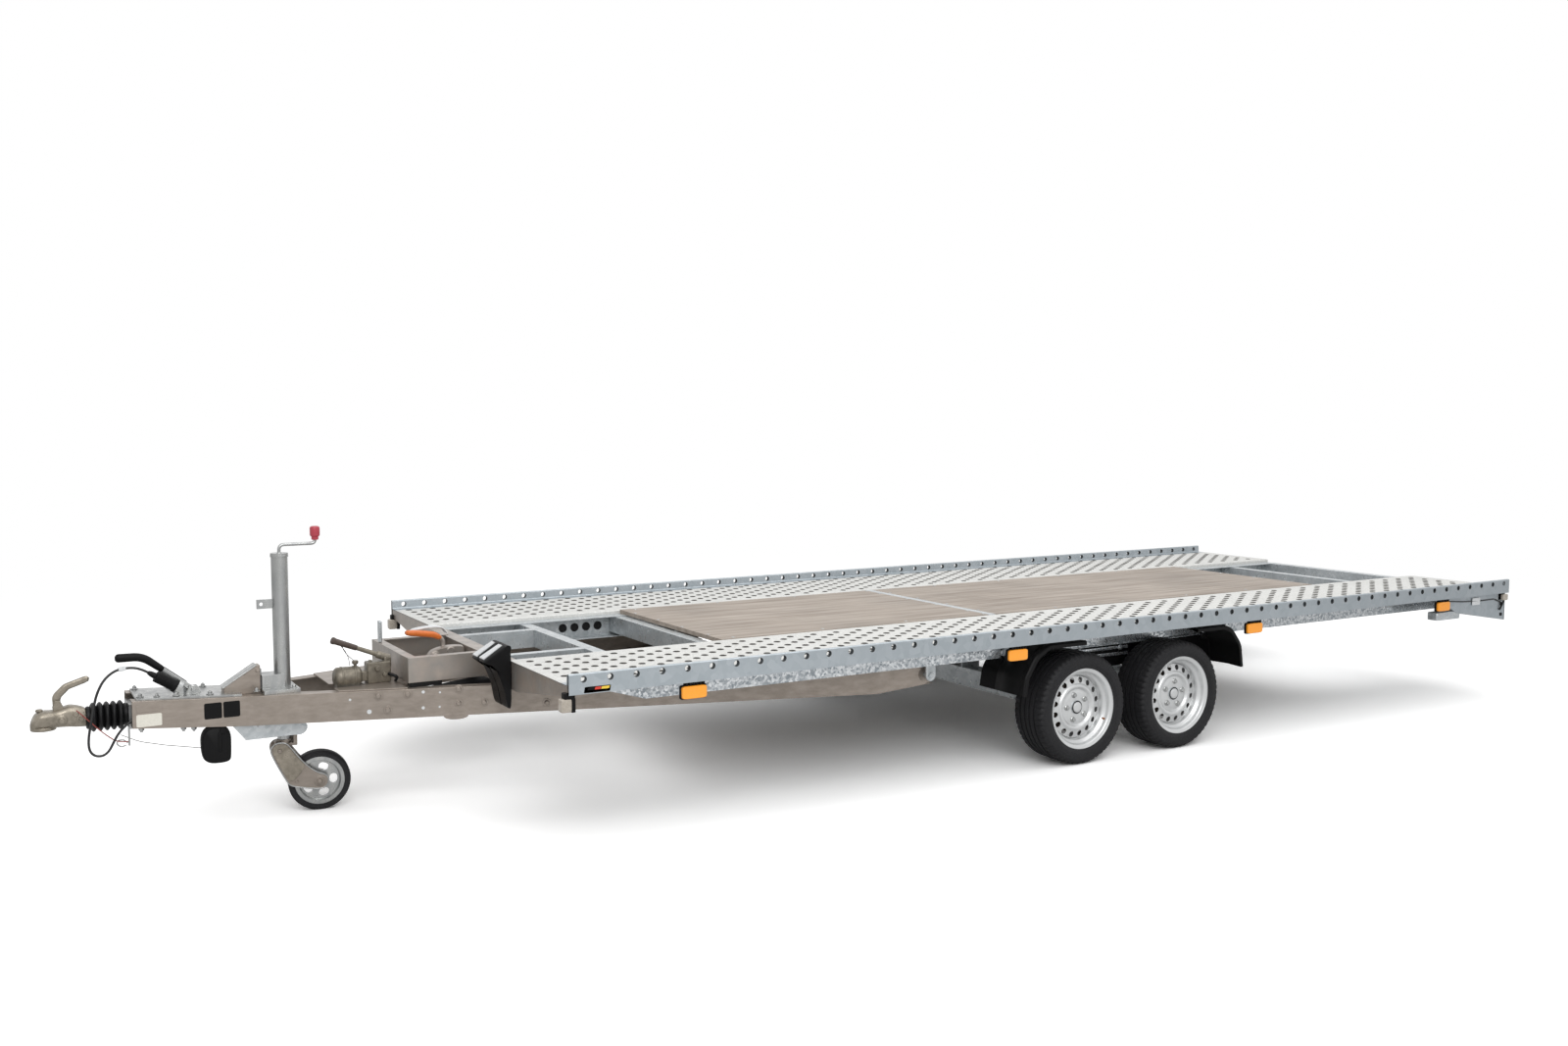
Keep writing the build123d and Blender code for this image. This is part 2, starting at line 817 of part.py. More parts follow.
with BuildPart() as overrun_housing:
    add(
        block(
            (housing_end, housing_start),
            (-housing_half, housing_half),
            (tow_height - 44, tow_height + 44),
        )
    )
    # sloping top plate between the beams' tops
    with BuildSketch(Plane.XZ.offset(-nose_half + 12)):
        with BuildLine():
            Polyline(
                (plate_ends[0], plate_rises[0] + seat_gap),
                (plate_ends[0], plate_rises[0] + 8),
                (plate_ends[1], plate_rises[1] + 8),
                (plate_ends[1], plate_rises[1] + seat_gap),
                close=True,
            )
        make_face()
    extrude(amount=2 * (nose_half - 12))
    add(
        block(
            (housing_end + 60, housing_start - 60),
            (-housing_half / 2, housing_half / 2),
            (tow_height + 40, nose_level(housing_end + 60, drawbar_top, nose_top) + 4),
        )
    )
    # ears and pin of the hand brake lever
    for face in (brake_side + brake_ear_gap + brake_ear, brake_side - brake_ear_gap):
        add(
            side_plate(
                (
                    (brake_pivot.X - 30, plate_top - 12),
                    (brake_pivot.X - 14, brake_pivot.Z + 14),
                    (brake_pivot.X + 14, brake_pivot.Z + 14),
                    (brake_pivot.X + 30, plate_top - 12),
                ),
                face,
                brake_ear,
            )
        )
    add(
        rod(
            (brake_pivot.X, brake_side - brake_ear_gap - brake_ear, brake_pivot.Z),
            (brake_pivot.X, brake_side + brake_ear_gap + brake_ear, brake_pivot.Z),
            brake_pin,
        )
    )
    # seat of the gas strut
    seat = [strut_start - strut_way * seat_gap + strut_across * side * strut_radius for side in (1, -1)]
    add(
        side_plate(
            (
                (seat[0].X, seat[0].Z),
                (seat[1].X, seat[1].Z),
                (seat[1].X, plate_top - 6),
                (seat[0].X - 16, plate_top - 6),
            ),
            strut_side + strut_radius,
            2 * strut_radius,
        )
    )
    # parking socket of the plug, on its bracket
    add(rod(socket_start, socket_start + plug_way * 16, plug_radius + 4))
    socket_foot = socket_start + plug_way * 12
    add(
        block(
            (socket_foot.X - 12, socket_foot.X + 6),
            (socket_foot.Y - 10, socket_foot.Y + 10),
            (nose_level(socket_foot.X + 6, drawbar_top, nose_top) + 2, socket_foot.Z),
        )
    )
    # gland of the plug's cable, inside the left beam
    add(block((gland_end[0] - 26, gland_end[0] - 14), (housing_half - 4, gland_end[1] + 14), (418, 442)))
    add(rod((gland_end[0] - 20, *gland_end[1:]), gland_end, 8))
    # tab that takes the breakaway cable's hook
    add(
        block(
            (housing_start - 1, wire_end[0]),
            (wire_end[1] - 10, wire_end[1] + 6),
            (wire_end[2] - 15, tow_height - 33),
        )
    )
save(overrun_housing, "overrun_housing")

bellows_front = housing_start + bellows_length - 8
bellows_back = housing_start + seat_gap
fold = (bellows_front - 2 * bellows_cuff - bellows_back) / bellows_folds
valley = bellows_radius - 14
with BuildPart() as bellows:
    with BuildSketch(Plane.XZ):
        with BuildLine():
            ridges = [(bellows_back, 0), (bellows_back, valley), (bellows_back + bellows_cuff, valley)]
            for n in range(bellows_folds):
                start = bellows_back + bellows_cuff + n * fold
                ridges.append((start + 0.4 * fold, bellows_radius))
                ridges.append((start + 0.6 * fold, bellows_radius))
                ridges.append((start + fold, valley))
            ridges.append((bellows_front, valley))
            ridges.append((bellows_front, 0))
            Polyline([(x, tow_height + radius) for x, radius in ridges], close=True)
        make_face()
    revolve(axis=Axis((0, 0, tow_height), (1, 0, 0)))
save(bellows, "bellows")

head_start = bellows_front + seat_gap
head_end = front_edge + coupling_reach
head_bottom = tow_height - 32
ball_x = head_end - 42
crest = (head_start + 55, tow_height + 53)
dome = (head_start + 147, tow_height + 42)
with BuildPart() as coupling_head:
    with BuildSketch(Plane.XY.offset(head_bottom)):
        with BuildLine():
            Polyline(
                (head_start, -34),
                (head_start + 80, -30),
                (ball_x - 8, -41),
                (ball_x - 8, 41),
                (head_start + 80, 30),
                (head_start, 34),
                close=True,
            )
        make_face()
        with Locations((ball_x, 0)):
            Circle(head_end - ball_x)
    extrude(amount=crest[1] - head_bottom)
    with BuildSketch(Plane.XZ):
        with BuildLine():
            Polyline(
                (head_end - 14, head_bottom),
                (head_start, head_bottom),
                (head_start, tow_height + 43),
                crest,
                dome,
            )
            RadiusArc(dome, (head_end, tow_height - 4), 36)
            Polyline((head_end, tow_height - 4), (head_end, tow_height - 12), (head_end - 14, head_bottom))
        make_face()
    extrude(amount=60, both=True, mode=Mode.INTERSECT)
    with BuildSketch(Plane.XY.offset(head_bottom)):
        with Locations((ball_x, 0)):
            Circle(tow_ball)
    extrude(amount=30, mode=Mode.SUBTRACT)
    # pin and ferrule that hold the breakaway cable
    wire_pin = Vector(wire_start[0] + 4, wire_start[1], wire_start[2] + 4)
    add(rod(wire_pin - Vector(0, 40, 0), wire_pin, 5))
    add(rod(ferrule_start, wire_start, 5))
save(coupling_head, "coupling_head")


def head_level(x):
    """Height of the coupling head's top between its crest and its dome."""
    return crest[1] + (dome[1] - crest[1]) * (x - crest[0]) / (dome[0] - crest[0])


handle_foot = (head_start + 78, head_start + 102)
handle_outline = (
    (handle_foot[0], head_level(handle_foot[0]) + seat_gap),
    (handle_foot[1], head_level(handle_foot[1]) + seat_gap),
    (handle_foot[1], tow_height + 90),
    (head_start + 66, tow_height + 130),
    (head_start - 8, tow_height + 154),
    (head_start - 16, tow_height + 131),
    (head_start + 48, tow_height + 110),
    (handle_foot[0], tow_height + 80),
)
with BuildPart() as coupling_handle:
    add(side_plate(handle_outline, handle_half_width, 2 * handle_half_width))
save(coupling_handle, "coupling_handle")

with BuildPart() as handbrake_lever:
    add(rod(brake_pivot, brake_grip + strut_way * 2, lever_radius))
    add(bent_rod((brake_grip, brake_bend, brake_tip), brake_bend_radius, grip_radius))
    add(
        rod(
            (brake_pivot.X, brake_side - brake_ear_gap + 2, brake_pivot.Z),
            (brake_pivot.X, brake_side + brake_ear_gap - 2, brake_pivot.Z),
            12,
        )
    )
    # pin that the gas strut pushes
    push = strut_end - strut_way * 8
    add(rod((push.X, brake_side, push.Z), (push.X, strut_side + strut_radius + seat_gap, push.Z), 5))
    add(
        rod(
            (brake_pivot.X, brake_side - 40, brake_pivot.Z),
            (brake_pivot.X, brake_side + 40, brake_pivot.Z),
            brake_pin + fit_clearance,
        ),
        mode=Mode.SUBTRACT,
    )
save(handbrake_lever, "handbrake_lever")

with BuildPart() as brake_spring:
    add(rod(strut_start, strut_end, strut_radius))
save(brake_spring, "brake_spring")

# plug in its parking socket, and its cable
plug_steps = ((0, 6, 8), (6, 28, 11), (28, 100, plug_radius), (100, plug_length, plug_radius + 3))
with BuildPart() as plug:
    for start, end, radius in plug_steps:
        add(rod(plug_start + plug_way * start, plug_start + plug_way * end, radius))
save(plug, "plug")

plug_cable_points = (
    gland_end,
    (3166.0, 90.0, 430.0),
    (3210.0, 90.0, 392.0),
    (3232.0, 89.0, 352.0),
    (3247.0, 87.0, 321.0),
    (3269.0, 84.0, 306.0),
    (3295.0, 81.0, 311.0),
    (3310.0, 79.0, 333.0),
    (3310.0, 78.0, 376.0),
    (3300.0, 77.0, 430.0),
    (3290.0, 75.0, 484.0),
    (3277.0, 71.0, 534.0),
    (3252.0, 67.0, 580.0),
    (3214.0, 64.0, 608.0),
    (3170.0, 64.0, 613.0),
    tuple(plug_start - plug_way * 30),
    tuple(plug_start),
)
breakaway_points = (
    wire_start,
    (3311.0, 60.0, 440.0),
    (3279.0, 60.5, 404.0),
    (3246.0, 61.0, 371.0),
    (3213.0, 60.0, 345.0),
    wire_end,
)
for points, radius, name in (
    (plug_cable_points, cable_radius, "plug_cable"),
    (breakaway_points, wire_radius, "breakaway_cable"),
):
    radii = cord_bends(points)
    print(name, [round(bend, 1) for bend in radii])
    with BuildPart() as cord:
        add(bent_rod(points, radii, radius))
    save(cord, name)

# ---- jack -------------------------------------------------------------------------------------
jack_tube_top = drawbar_top + jack_tube_rise
jack_tube_bottom = drawbar_bottom + 13
inner_radius = jack_tube_radius - jack_tube_wall - fit_clearance
with BuildPart() as jack_tube:
    add(
        rod(
            (jack_x, jack_side, jack_tube_bottom),
            (jack_x, jack_side, jack_tube_top),
            jack_tube_radius,
            jack_tube_radius - jack_tube_wall,
        )
    )
    with Locations((jack_x, jack_side, jack_tube_top + 6)):
        Cylinder(jack_tube_radius + 2, 12)
    # lug for the lashing hole
    with BuildSketch(Plane.XZ.offset(-jack_side - 4)):
        with Locations((jack_x + jack_tube_radius + 27, jack_tube_top - 178)):
            Rectangle(58, 35)
        with Locations((jack_x + 70, jack_tube_top - 178)):
            Circle(7, mode=Mode.SUBTRACT)
    extrude(amount=8)
save(jack_tube, "jack_tube")

clamp_bore = jack_tube_radius + seat_gap
with BuildPart() as jack_clamp:
    with BuildSketch(Plane.XY.offset(drawbar_top + seat_gap)):
        with Locations((jack_x + 20, 0)):
            Rectangle(130, 260)
        with Locations((jack_x, jack_side)):
            Circle(clamp_bore, mode=Mode.SUBTRACT)
    extrude(amount=14)
    with BuildSketch(Plane.XY.offset(drawbar_top + 14)):
        with Locations((jack_x + 40, jack_side)):
            Rectangle(82, 84)
        with Locations((jack_x, jack_side)):
            Circle(clamp_bore, mode=Mode.SUBTRACT)
    extrude(amount=50)
    # gusset from the clamp forward to the housing's plate
    add(
        side_plate(
            (
                (jack_x + 78, drawbar_top + 10),
                (jack_x + 78, drawbar_top + 86),
                (jack_x + 142, drawbar_top + 76),
                (housing_end + 30, nose_level(housing_end + 30, drawbar_top, nose_top) + 16),
                (housing_end - 8, drawbar_top + 10),
            ),
            jack_side + 15,
            60,
        )
    )
save(jack_clamp, "jack_clamp")

knob_x = jack_x - crank_reach
crank_level = jack_tube_top + 37
with BuildPart() as jack_crank:
    add(rod((jack_x, jack_side, jack_tube_top + 12 + seat_gap), (jack_x, jack_side, crank_level + 10), 9))
    add(rod((jack_x + 10, jack_side, crank_level), (knob_x, jack_side, crank_level), 7))
    add(rod((knob_x, jack_side, crank_level), (knob_x, jack_side, crank_level + 34), 13))
    add(rod((knob_x, jack_side, crank_level + 30), (knob_x, jack_side, crank_level + 72), 18.5))
save(jack_crank, "jack_crank")

crown_radius = 32.0
fork_top = jack_wheel_radius + jack_crown + crown_radius - 2
with BuildPart() as jack_leg:
    add(rod((jack_x, jack_side, fork_top + seat_gap), (jack_x, jack_side, jack_tube_top - 60), inner_radius))
save(jack_leg, "jack_leg")

turn = radians(jack_turn)
trail = Vector(-cos(turn), sin(turn), 0)
across = Vector(sin(turn), cos(turn), 0)
jack_wheel_centre = Vector(jack_x, jack_side, jack_wheel_radius) + trail * jack_trail
fork_plane = Plane(origin=(jack_x, jack_side, 0), x_dir=trail, z_dir=across)
fork_arm = 6.0
fork_gap = jack_wheel_width + 12.0
crown_level = fork_top - crown_radius
elbow = (crown_radius, crown_level - 94, crown_radius - 2)


def link(plane, ends, thickness):
    """Flat plate round two circles, each given as (across, up, radius) on the plane."""
    with BuildPart() as plate:
        with BuildSketch(plane):
            for across_plane, up, radius in ends:
                with Locations((across_plane, up)):
                    Circle(radius)
            make_hull()
        extrude(amount=thickness)
    return plate.part


with BuildPart() as jack_fork:
    for side in (1, -1):
        arm_plane = fork_plane.offset(side * (fork_gap + fork_arm) / 2 - fork_arm / 2)
        add(link(arm_plane, ((0, crown_level, crown_radius), elbow), fork_arm))
        add(link(arm_plane, (elbow, (jack_trail, jack_wheel_radius, 22)), fork_arm))
    # top web between the arms, with the lock tab behind the leg
    with BuildSketch(fork_plane.offset(-fork_gap / 2 - fork_arm / 2)):
        with Locations((0, fork_top - 4)):
            Rectangle(40, 8)
        with Locations((jack_tube_radius + 9, fork_top + 26)):
            Rectangle(14, 78)
        with Locations((jack_tube_radius, fork_top - 9)):
            Rectangle(32, 8)
    extrude(amount=fork_gap + fork_arm)
    axle_reach = across * (fork_gap / 2 + fork_arm)
    add(rod(jack_wheel_centre - axle_reach, jack_wheel_centre + axle_reach, axle_radius))
save(jack_fork, "jack_fork")

jack_wheel_axis = Axis(tuple(jack_wheel_centre), tuple(across))
wheel_plane = Plane(origin=jack_wheel_centre, x_dir=across, z_dir=-trail)
half_jack_wheel = jack_wheel_width / 2
jack_rim_inner = jack_rim_radius - 14
with BuildPart() as jack_wheel:
    with BuildSketch(wheel_plane):
        with BuildLine():
            Polyline(
                (-half_jack_wheel, axle_radius + fit_clearance),
                (half_jack_wheel, axle_radius + fit_clearance),
                (half_jack_wheel, 24),
                (7, 28),
                (7, jack_rim_inner - 4),
                (half_jack_wheel - 3, jack_rim_inner),
                (half_jack_wheel - 3, jack_rim_radius),
                (3 - half_jack_wheel, jack_rim_radius),
                (3 - half_jack_wheel, jack_rim_inner),
                (-7, jack_rim_inner - 4),
                (-7, 28),
                (-half_jack_wheel, 24),
                close=True,
            )
        make_face()
    revolve(axis=jack_wheel_axis)
    # openings between the spokes
    with BuildSketch(Plane(origin=jack_wheel_centre, x_dir=trail, z_dir=across)):
        with PolarLocations((jack_rim_inner + 26) / 2, jack_spokes):
            SlotOverall(38, 30, rotation=90)
    extrude(amount=jack_wheel_width, both=True, mode=Mode.SUBTRACT)
save(jack_wheel, "jack_wheel")

jack_tread = jack_wheel_radius - 8
with BuildPart() as jack_tyre:
    with BuildSketch(wheel_plane):
        with BuildLine():
            Polyline(
                (-half_jack_wheel, jack_rim_radius + seat_gap),
                (half_jack_wheel, jack_rim_radius + seat_gap),
                (half_jack_wheel, jack_tread),
                (half_jack_wheel - 8, jack_wheel_radius),
                (8 - half_jack_wheel, jack_wheel_radius),
                (-half_jack_wheel, jack_tread),
                close=True,
            )
        make_face()
    revolve(axis=jack_wheel_axis)
save(jack_tyre, "jack_tyre")

# side plates hung under the beams, between which the jack's leg is locked
guide_top = drawbar_bottom - seat_gap
guide_foot = drawbar_bottom - 57
guide_round = 28.0
guide_x = (jack_x - 72, jack_x + 170)
with BuildPart() as jack_guide:
    with BuildSketch(Plane.XZ.offset(-guide_side)):
        with BuildLine():
            Polyline(
                (guide_x[0], guide_foot),
                (guide_x[0], guide_foot + guide_round + 6),
                (guide_x[0] + 20, guide_top),
                (guide_x[1] + 24, guide_top),
                (guide_x[1] - 20, guide_foot),
                close=True,
            )
        make_face()
    extrude(amount=guide_wall)
    fillet(jack_guide.edges().filter_by(Axis.Y).group_by(Axis.X)[0].sort_by(Axis.Z)[:1], radius=guide_round)
    mirror(about=Plane.XZ)
save(jack_guide, "jack_guide")

# ---- tilt hydraulics --------------------------------------------------------------------------
pump_base = drawbar_top + seat_gap + pump_plate
reservoir_level = pump_base + 29
valve_top = pump_base + 81
with BuildPart() as hand_pump:
    add(
        rod(
            (reservoir_x[1], pump_side, reservoir_level),
            (reservoir_x[0], pump_side, reservoir_level),
            reservoir_radius,
        )
    )
    for x, side in ((reservoir_x[0], -1), (reservoir_x[1], 1)):
        end = Vector(x, pump_side, reservoir_level)
        add(rod(end, end + Vector(side * 10, 0, 0), reservoir_radius - 9))
    # valve block with the lever's socket, joined to the reservoir
    add(
        block(
            (front_edge + pump_reach - 14, front_edge + pump_reach + 76),
            (pump_side - 30, pump_side + 30),
            (pump_base + seat_gap, valve_top),
        )
    )
    add(
        block(
            (front_edge + pump_reach + 74, reservoir_x[0] + 4),
            (pump_side - 18, pump_side + 18),
            (pump_base + 8, pump_base + 44),
        )
    )
    # saddle feet and the release knob
    foot_half = reservoir_radius + 14
    for x in (reservoir_x[0] + 14, reservoir_x[1] - 14):
        add(
            block(
                (x - 5, x + 5),
                (pump_side - foot_half, pump_side + foot_half),
                (pump_base + seat_gap, reservoir_level),
            )
        )
    knob = Vector(reservoir_x[0] + 10, pump_side, valve_top + 4)
    add(rod((knob.X, knob.Y, reservoir_level + 30), knob, 5))
    add(rod(knob - Vector(0, 16, 0), knob + Vector(0, 16, 0), 6))
save(hand_pump, "hand_pump")

pump_pivot = Vector(front_edge + pump_reach - 4, pump_side, valve_top + 12)
pump_grip = Vector(front_edge + pump_reach + 205, pump_side, valve_top + 96)
lever_way = (pump_grip - pump_pivot).normalized()
with BuildPart() as pump_lever:
    add(
        block(
            (pump_pivot.X - 9, pump_pivot.X + 9),
            (pump_side - 9, pump_side + 9),
            (valve_top + seat_gap, pump_pivot.Z + 8),
        )
    )
    add(rod(pump_pivot, pump_grip, 9))
    add(rod(pump_pivot + lever_way * 80, pump_grip, 11))
    add(rod(pump_grip - lever_way * 62, pump_grip, 14))
save(pump_lever, "pump_lever")

ram_base = Vector(front_edge + ram_base_reach, 0, drawbar_bottom + 18)
ram_eye = Vector(behind(ram_eye_setback), 0, drawbar_top - 14)
ram_length = (ram_eye - ram_base).length
ram_way = (ram_eye - ram_base).normalized()
ram_lug_top = member_bottom - 0.2
ram_eye_radius = 2 * ram_pin

with BuildPart() as ram_barrel:
    add(rod(ram_base - Vector(0, 16, 0), ram_base + Vector(0, 16, 0), ram_eye_radius))
    add(rod(ram_base + ram_way * (ram_eye_radius - 1), ram_base + ram_way * ram_barrel_length, ram_radius))
    add(
        rod(
            ram_base + ram_way * 3 * ram_eye_radius,
            ram_base + ram_way * (ram_barrel_length + past),
            ram_rod_radius + fit_clearance,
        ),
        mode=Mode.SUBTRACT,
    )
    bore_reach = Vector(0, ram_radius + past, 0)
    add(rod(ram_base - bore_reach, ram_base + bore_reach, ram_pin + fit_clearance), mode=Mode.SUBTRACT)
save(ram_barrel, "ram_barrel")

with BuildPart() as ram_rod:
    add(
        rod(
            ram_base + ram_way * (ram_barrel_length - 200),
            ram_base + ram_way * (ram_length - ram_eye_radius + 2),
            ram_rod_radius,
        )
    )
    add(rod(ram_eye - Vector(0, 16, 0), ram_eye + Vector(0, 16, 0), ram_eye_radius))
    add(rod(ram_eye - Vector(0, ram_lug_gap - 1, 0), ram_eye + Vector(0, ram_lug_gap - 1, 0), ram_pin))
save(ram_rod, "ram_rod")

spreader_back = front_edge + spreader_front_reach - spreader_width / 2 - 0.2
with BuildPart() as ram_base_bracket:
    for face in (ram_lug_gap + ram_lug_thickness, -ram_lug_gap - ram_lug_thickness):
        add(
            side_plate(
                (
                    (ram_base.X - 22, spreader_bottom),
                    (ram_base.X - 22, ram_base.Z + 18),
                    (ram_base.X + 22, ram_base.Z + 18),
                    (spreader_back, drawbar_bottom + 50),
                    (spreader_back, spreader_bottom),
                ),
                face,
                ram_lug_thickness,
            )
        )
    pin_reach = Vector(0, ram_lug_gap + ram_lug_thickness + 2, 0)
    add(rod(ram_base - pin_reach, ram_base + pin_reach, ram_pin))
save(ram_base_bracket, "ram_base_bracket")

with BuildPart() as ram_lugs:
    for face in (ram_lug_gap + ram_lug_thickness, -ram_lug_gap - ram_lug_thickness):
        add(
            side_plate(
                (
                    (ram_eye.X + 24, ram_eye.Z - 20),
                    (ram_eye.X + 24, ram_lug_top - ram_lug_thickness),
                    (ram_eye.X - 56, ram_lug_top - ram_lug_thickness),
                    (ram_eye.X - 56, ram_eye.Z),
                    (ram_eye.X - 10, ram_eye.Z - 20),
                ),
                face,
                ram_lug_thickness,
            )
        )
    add(
        block((ram_eye.X - 56, ram_eye.X + 24), (-60, 60), (ram_lug_top - ram_lug_thickness, ram_lug_top))
    )
save(ram_lugs, "ram_lugs")

# ---- wheels and axles -------------------------------------------------------------------------
wheel_centre = wheel_track / 2
tyre_half = tyre_width / 2
rim_half = rim_width / 2
axle_height = wheel_radius + axle_rise
disc = rim_half - disc_inset


def revolved(outline, x, y, z, side):
    """Body of revolution about a wheel's axle: the outline gives (outward, radius) points."""
    with BuildPart() as body:
        with BuildSketch(Plane(origin=(x, y, z), x_dir=(0, side, 0), z_dir=(side, 0, 0))):
            with BuildLine():
                Polyline(outline, close=True)
            make_face()
        revolve(axis=Axis((x, y, z), (0, 1, 0)))
    return body.part


tyre_outline = (
    (-rim_half + 3, rim_flange_radius - 3),
    (-rim_half + 3, rim_flange_radius + 0.3),
    (-rim_half - 2, rim_flange_radius + 0.3),
    (-tyre_half, rim_flange_radius + 22),
    (-tyre_half, rim_flange_radius + 40),
    (-tyre_half + 16, wheel_radius - 3),
    (-tyre_half + 36, wheel_radius),
    (tyre_half - 36, wheel_radius),
    (tyre_half - 16, wheel_radius - 3),
    (tyre_half, rim_flange_radius + 40),
    (tyre_half, rim_flange_radius + 22),
    (rim_half + 2, rim_flange_radius + 0.3),
    (rim_half - 3, rim_flange_radius + 0.3),
    (rim_half - 3, rim_flange_radius - 3),
)
rim_outline = (
    (-rim_half, rim_flange_radius - 12),
    (-rim_half, rim_flange_radius),
    (-rim_half + 2.8, rim_flange_radius),
    (-rim_half + 2.8, rim_flange_radius - 3.2),
    (rim_half - 2.8, rim_flange_radius - 3.2),
    (rim_half - 2.8, rim_flange_radius),
    (rim_half, rim_flange_radius),
    (rim_half, rim_flange_radius - 12),
    (rim_half - 30, rim_flange_radius - 22),
    (disc - 8, rim_flange_radius - 34),
    (disc, 103),
    (disc + 8, 96),
    (disc + 8, 91),
    (disc, 84),
    (disc, hub_bore / 2 + fit_clearance),
    (disc - 6, hub_bore / 2 + fit_clearance),
    (disc - 6, 84),
    (disc + 2, 91),
    (disc + 2, 96),
    (disc - 8, 105),
    (disc - 16, rim_flange_radius - 34),
    (-rim_half + 30, rim_flange_radius - 24),
)
drum_outline = (
    (-rim_half + 6, hub_bore / 2 + fit_clearance),
    (-rim_half + 6, 112),
    (disc - 20, 112),
    (disc - 20, 70),
    (disc - 6.2, 70),
    (disc - 6.2, hub_bore / 2 + fit_clearance),
)
axle_stations = (("front", wheel_front), ("rear", wheel_rear))
for axle_name, station in axle_stations:
    for side_name, side in (("left", 1), ("right", -1)):
        place = (behind(station), side * wheel_centre, wheel_radius, side)
        with BuildPart() as tyre:
            add(revolved(tyre_outline, *place))
        save(tyre, f"tyre_{axle_name}_{side_name}")
        with BuildPart() as wheel:
            add(revolved(rim_outline, *place))
            # ring of vents in the disc
            with BuildSketch(Plane.XZ.offset(-side * (wheel_centre + disc - 30))):
                with Locations((behind(station), wheel_radius)):
                    with PolarLocations(vent_circle, vent_count):
                        SlotOverall(2.8 * vent_radius, 2 * vent_radius)
            extrude(amount=-side * 60, mode=Mode.SUBTRACT)
        save(wheel, f"wheel_{axle_name}_{side_name}")
        with BuildPart() as drum:
            add(revolved(drum_outline, *place))
        save(drum, f"brake_drum_{axle_name}_{side_name}")

arm_inner = wheel_centre - rim_half - 60.0
for axle_name, station in axle_stations:
    wheel_x = behind(station)
    tube_x = wheel_x + trailing_arm
    with BuildPart() as axle:
        add(
            block(
                (tube_x - axle_tube / 2, tube_x + axle_tube / 2),
                (-arm_inner, arm_inner),
                (axle_height - axle_tube / 2, axle_height + axle_tube / 2),
            )
        )
        for side in (1, -1):
            with BuildSketch(Plane.XZ.offset(-side * arm_inner)):
                with BuildLine():
                    Polyline(
                        (tube_x + 40, axle_height - 34),
                        (tube_x + 40, axle_height + 34),
                        (tube_x - 30, axle_height + 40),
                        (wheel_x - 30, wheel_radius + 26),
                        (wheel_x - 30, wheel_radius - 30),
                        (wheel_x + 26, wheel_radius - 34),
                        close=True,
                    )
                make_face()
            extrude(amount=-side * 40)
            # spindle that carries the drum and the wheel
            add(
                rod(
                    (wheel_x, side * (arm_inner + 38), wheel_radius),
                    (wheel_x, side * (wheel_centre + disc + 4), wheel_radius),
                    hub_bore / 2,
                )
            )
            # bracket up to the main beam
            add(
                block(
                    (tube_x - 50, tube_x + 50),
                    sorted((side * (plank_inner - 60), side * (plank_inner - 52))),
                    (axle_height + axle_tube / 2 - 0.5, main_beam_bottom - seat_gap),
                )
            )
    save(axle, f"axle_{axle_name}")

# ---- mudguards --------------------------------------------------------------------------------
guard_top = 2 * wheel_radius + guard_clearance
guard_front = wheel_front - 352
guard_rear = wheel_rear + 392
with BuildPart() as mudguards:
    with BuildSketch(Plane.XZ.offset(-guard_inner)):
        with BuildLine():
            Polyline(
                (behind(guard_front), guard_top - 210),
                (behind(guard_front + 14), guard_top - 130),
                (behind(guard_front + 70), guard_top - 44),
                (behind(guard_front + 140), guard_top),
                (behind(guard_rear - 131), guard_top),
                (behind(guard_rear - 77), guard_top - 18),
                (behind(guard_rear - 15), guard_top - 97),
                (behind(guard_rear), guard_top - 203),
            )
            offset(amount=beam_thickness, side=Side.LEFT, kind=Kind.INTERSECTION)
        make_face()
    extrude(amount=guard_inner - guard_outer)
    mirror(about=Plane.XZ)
save(mudguards, "mudguards")

with BuildPart() as mudguard_brackets:
    for station in (wheel_front - 56, wheel_rear + 128):
        add(
            block(
                (behind(station) - 20, behind(station) + 20),
                (guard_inner + 30, guard_inner + 90),
                (guard_top + 0.2, deck_under),
            )
        )
    mirror(about=Plane.XZ)
save(mudguard_brackets, "mudguard_brackets")
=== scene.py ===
"""Looks of the tilting car transporter trailer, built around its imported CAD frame.

Places are in metres, X forward to the coupling, Y left, Z up. Profiles, sections, outlines, radii
and thicknesses of the new pieces are in millimetres. Every new piece is a surface worked out on a
grid, or a profile carried along a path, and rides on the CAD body that it belongs to."""

import bmesh
import bpy
import numpy as np
from mathutils import Matrix, Vector


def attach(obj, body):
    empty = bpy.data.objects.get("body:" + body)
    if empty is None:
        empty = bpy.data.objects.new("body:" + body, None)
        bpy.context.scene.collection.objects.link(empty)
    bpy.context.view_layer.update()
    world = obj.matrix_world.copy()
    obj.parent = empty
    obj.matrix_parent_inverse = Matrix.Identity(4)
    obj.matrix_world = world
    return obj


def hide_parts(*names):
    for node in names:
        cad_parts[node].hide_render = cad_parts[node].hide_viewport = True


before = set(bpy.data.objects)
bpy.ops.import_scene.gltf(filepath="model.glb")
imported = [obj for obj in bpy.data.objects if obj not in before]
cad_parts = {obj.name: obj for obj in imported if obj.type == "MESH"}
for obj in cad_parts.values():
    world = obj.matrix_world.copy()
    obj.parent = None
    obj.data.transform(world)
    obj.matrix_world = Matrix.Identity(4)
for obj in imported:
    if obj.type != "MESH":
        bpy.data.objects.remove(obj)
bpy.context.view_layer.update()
AHEAD, LEFT, UP = (1, 0, 0), (0, 1, 0), (0, 0, 1)
SIDES = ((1, "left"), (-1, "right"))

